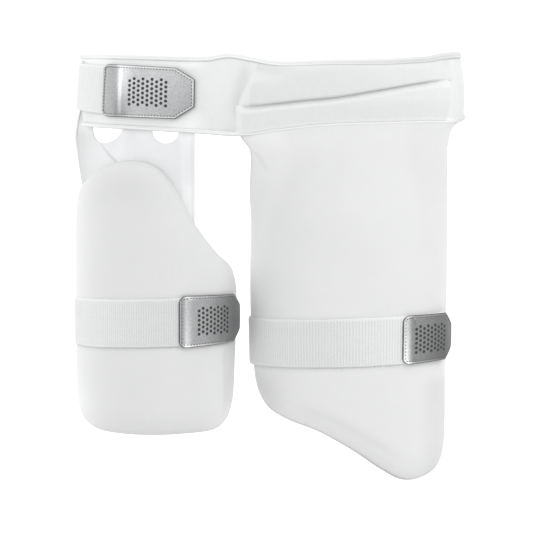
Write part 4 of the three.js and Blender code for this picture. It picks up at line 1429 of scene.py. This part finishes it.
def outer_marks(turn, z, inset):
    """The outer pad's own relief: a pulled fold that slants down from the neck's left corner, and a shallow
    hollow beside the slanting lower edge. Its tone is painted shade in the fold, the hollow and along the
    edge, with patches of painted light and shade. Gives the change of thickness and of tone."""
    right, up = turn - OUTER_FOLD["turn"], z - OUTER_FOLD["z"]
    across = right * OUTER_FOLD["across"][0] + up * OUTER_FOLD["across"][1]
    along = right * OUTER_FOLD["along"][0] + up * OUTER_FOLD["along"][1]
    fold = lump(across, 0, OUTER_FOLD_ENDS["width"])
    fold = fold * ease(along, *OUTER_FOLD_ENDS["start"]) * ease(along, *OUTER_FOLD_ENDS["end"])
    hollow = lump(inset, OUTER_HOLLOW["inset"], OUTER_HOLLOW["width"]) * ease(z, *OUTER_HOLLOW_ENDS["z"])
    hollow = hollow * ease(turn, *OUTER_HOLLOW_ENDS["left"]) * ease(turn, *OUTER_HOLLOW_ENDS["right"])
    slanting = ease(z, *OUTER_EDGE["z"]) * ease(turn, *OUTER_EDGE["turn"])
    edge = lump(inset, 0, OUTER_EDGE["width"]) * lerp(OUTER_EDGE["least"], 1, slanting)
    shade = patches(OUTER_PAINTED_LIGHT, turn=turn, z=z) + OUTER_EDGE["dark"] * edge
    shade = shade + OUTER_FOLD["dark"] * fold + OUTER_HOLLOW["dark"] * hollow
    return -OUTER_FOLD["depth"] * fold - OUTER_HOLLOW["depth"] * hollow, shade


free = spline(OUTER_OUTLINE, OUTER_STEPS, closed=False)
ring = np.concatenate([free, outer_top()])
skin = pad_skin(OUTER_LEG, ring, free, OUTER_MIDDLE, on_outer_pad, OUTER_STRAP, outer_marks)
put_pad("outer_pad_cover", "outer_pad", skin)


# The outer pad's strap and tab
# The same elastic and silver tab, made and fixed as the inner pad's are. The strap goes round the back of the
# other thigh, and the tab's stiff free end stands off the pad.
put_strap("outer_strap_webbing", "outer_strap", OUTER_LEG, OUTER_STRAP)
put_thigh_tab("outer_hook_tab", "outer_tab", OUTER_LEG, OUTER_STRAP, OUTER_TAB)


# Studio
# A round pale floor well below the guard, a white surround that is brightest behind it, soft lights on both
# sides and above, and a long lens in front, a little below the belt.
FLOOR = dict(z=-0.75, radius=1.4, sides=96)
PAPER_WHITE = [(0.72, 0.72, 0.72, 1), (0.75, 0.75, 0.75, 1)]
CAMERA_PLACE = Vector((-0.0056, -2.13, -0.08))
CAMERA_AIM = Vector((-0.0056, -0.13, -0.175))
CAMERA_LENS = 132.6
CAMERA_SENSOR = 36
SURROUND = dict(front=0.84, back=1.3)
LIGHTS = [
    dict(name="left_light", place=(-2.4, 0.5, 0.25), size=1.3, power=4.5),
    dict(name="front_left_light", place=(-1.5, -1.9, 0.7), size=1.2, power=2.5),
    dict(name="right_light", place=(1.35, -1.2, 1.7), size=1.6, power=12.5),
]
LIGHT_AIM = Vector((0, -0.05, -0.17))

turn = np.linspace(0, 2 * np.pi, FLOOR["sides"], endpoint=False)
disc = [FLOOR["radius"] * np.cos(turn), FLOOR["radius"] * np.sin(turn), np.full(FLOOR["sides"], FLOOR["z"])]
floor = put_mesh("floor", np.stack(disc, -1) / MM, [list(range(FLOOR["sides"]))])
paper, paper_tree, paper_shader = new_finish("white_paper", 0.9)
paper_cloud = add_noise(paper_tree, own_place(paper_tree), scale=3, detail=2)
add_colour(paper_tree, paper_shader, paper_cloud, PAPER_WHITE)
floor.data.materials.append(paper)

world = bpy.data.worlds.new("studio")
world.use_nodes = True
sky = world.node_tree.nodes["Background"]
sky.inputs["Color"].default_value = (1, 1, 1, 1)
way = add_node(world.node_tree, "ShaderNodeTexCoord", {}).outputs["Generated"]
depth = add_node(world.node_tree, "ShaderNodeSeparateXYZ", {"Vector": way}).outputs["Y"]
span = {"From Min": -1, "From Max": 1, "To Min": SURROUND["front"], "To Max": SURROUND["back"]}
strength = add_node(world.node_tree, "ShaderNodeMapRange", {"Value": depth, **span})
world.node_tree.links.new(strength.outputs["Result"], sky.inputs["Strength"])
bpy.context.scene.world = world

for light in LIGHTS:
    lamp = bpy.data.lights.new(light["name"], "AREA")
    lamp.size = light["size"]
    lamp.energy = light["power"]
    stand = bpy.data.objects.new(light["name"], lamp)
    stand.location = light["place"]
    stand.rotation_euler = (LIGHT_AIM - stand.location).to_track_quat("-Z", "Y").to_euler()
    bpy.context.scene.collection.objects.link(stand)

lens = bpy.data.cameras.new("camera")
lens.lens = CAMERA_LENS
lens.sensor_width = CAMERA_SENSOR
camera = bpy.data.objects.new("camera", lens)
camera.location = CAMERA_PLACE
camera.rotation_euler = (CAMERA_AIM - CAMERA_PLACE).to_track_quat("-Z", "Y").to_euler()
bpy.context.scene.collection.objects.link(camera)
bpy.context.scene.camera = camera
bpy.context.scene.view_settings.view_transform = "Standard"
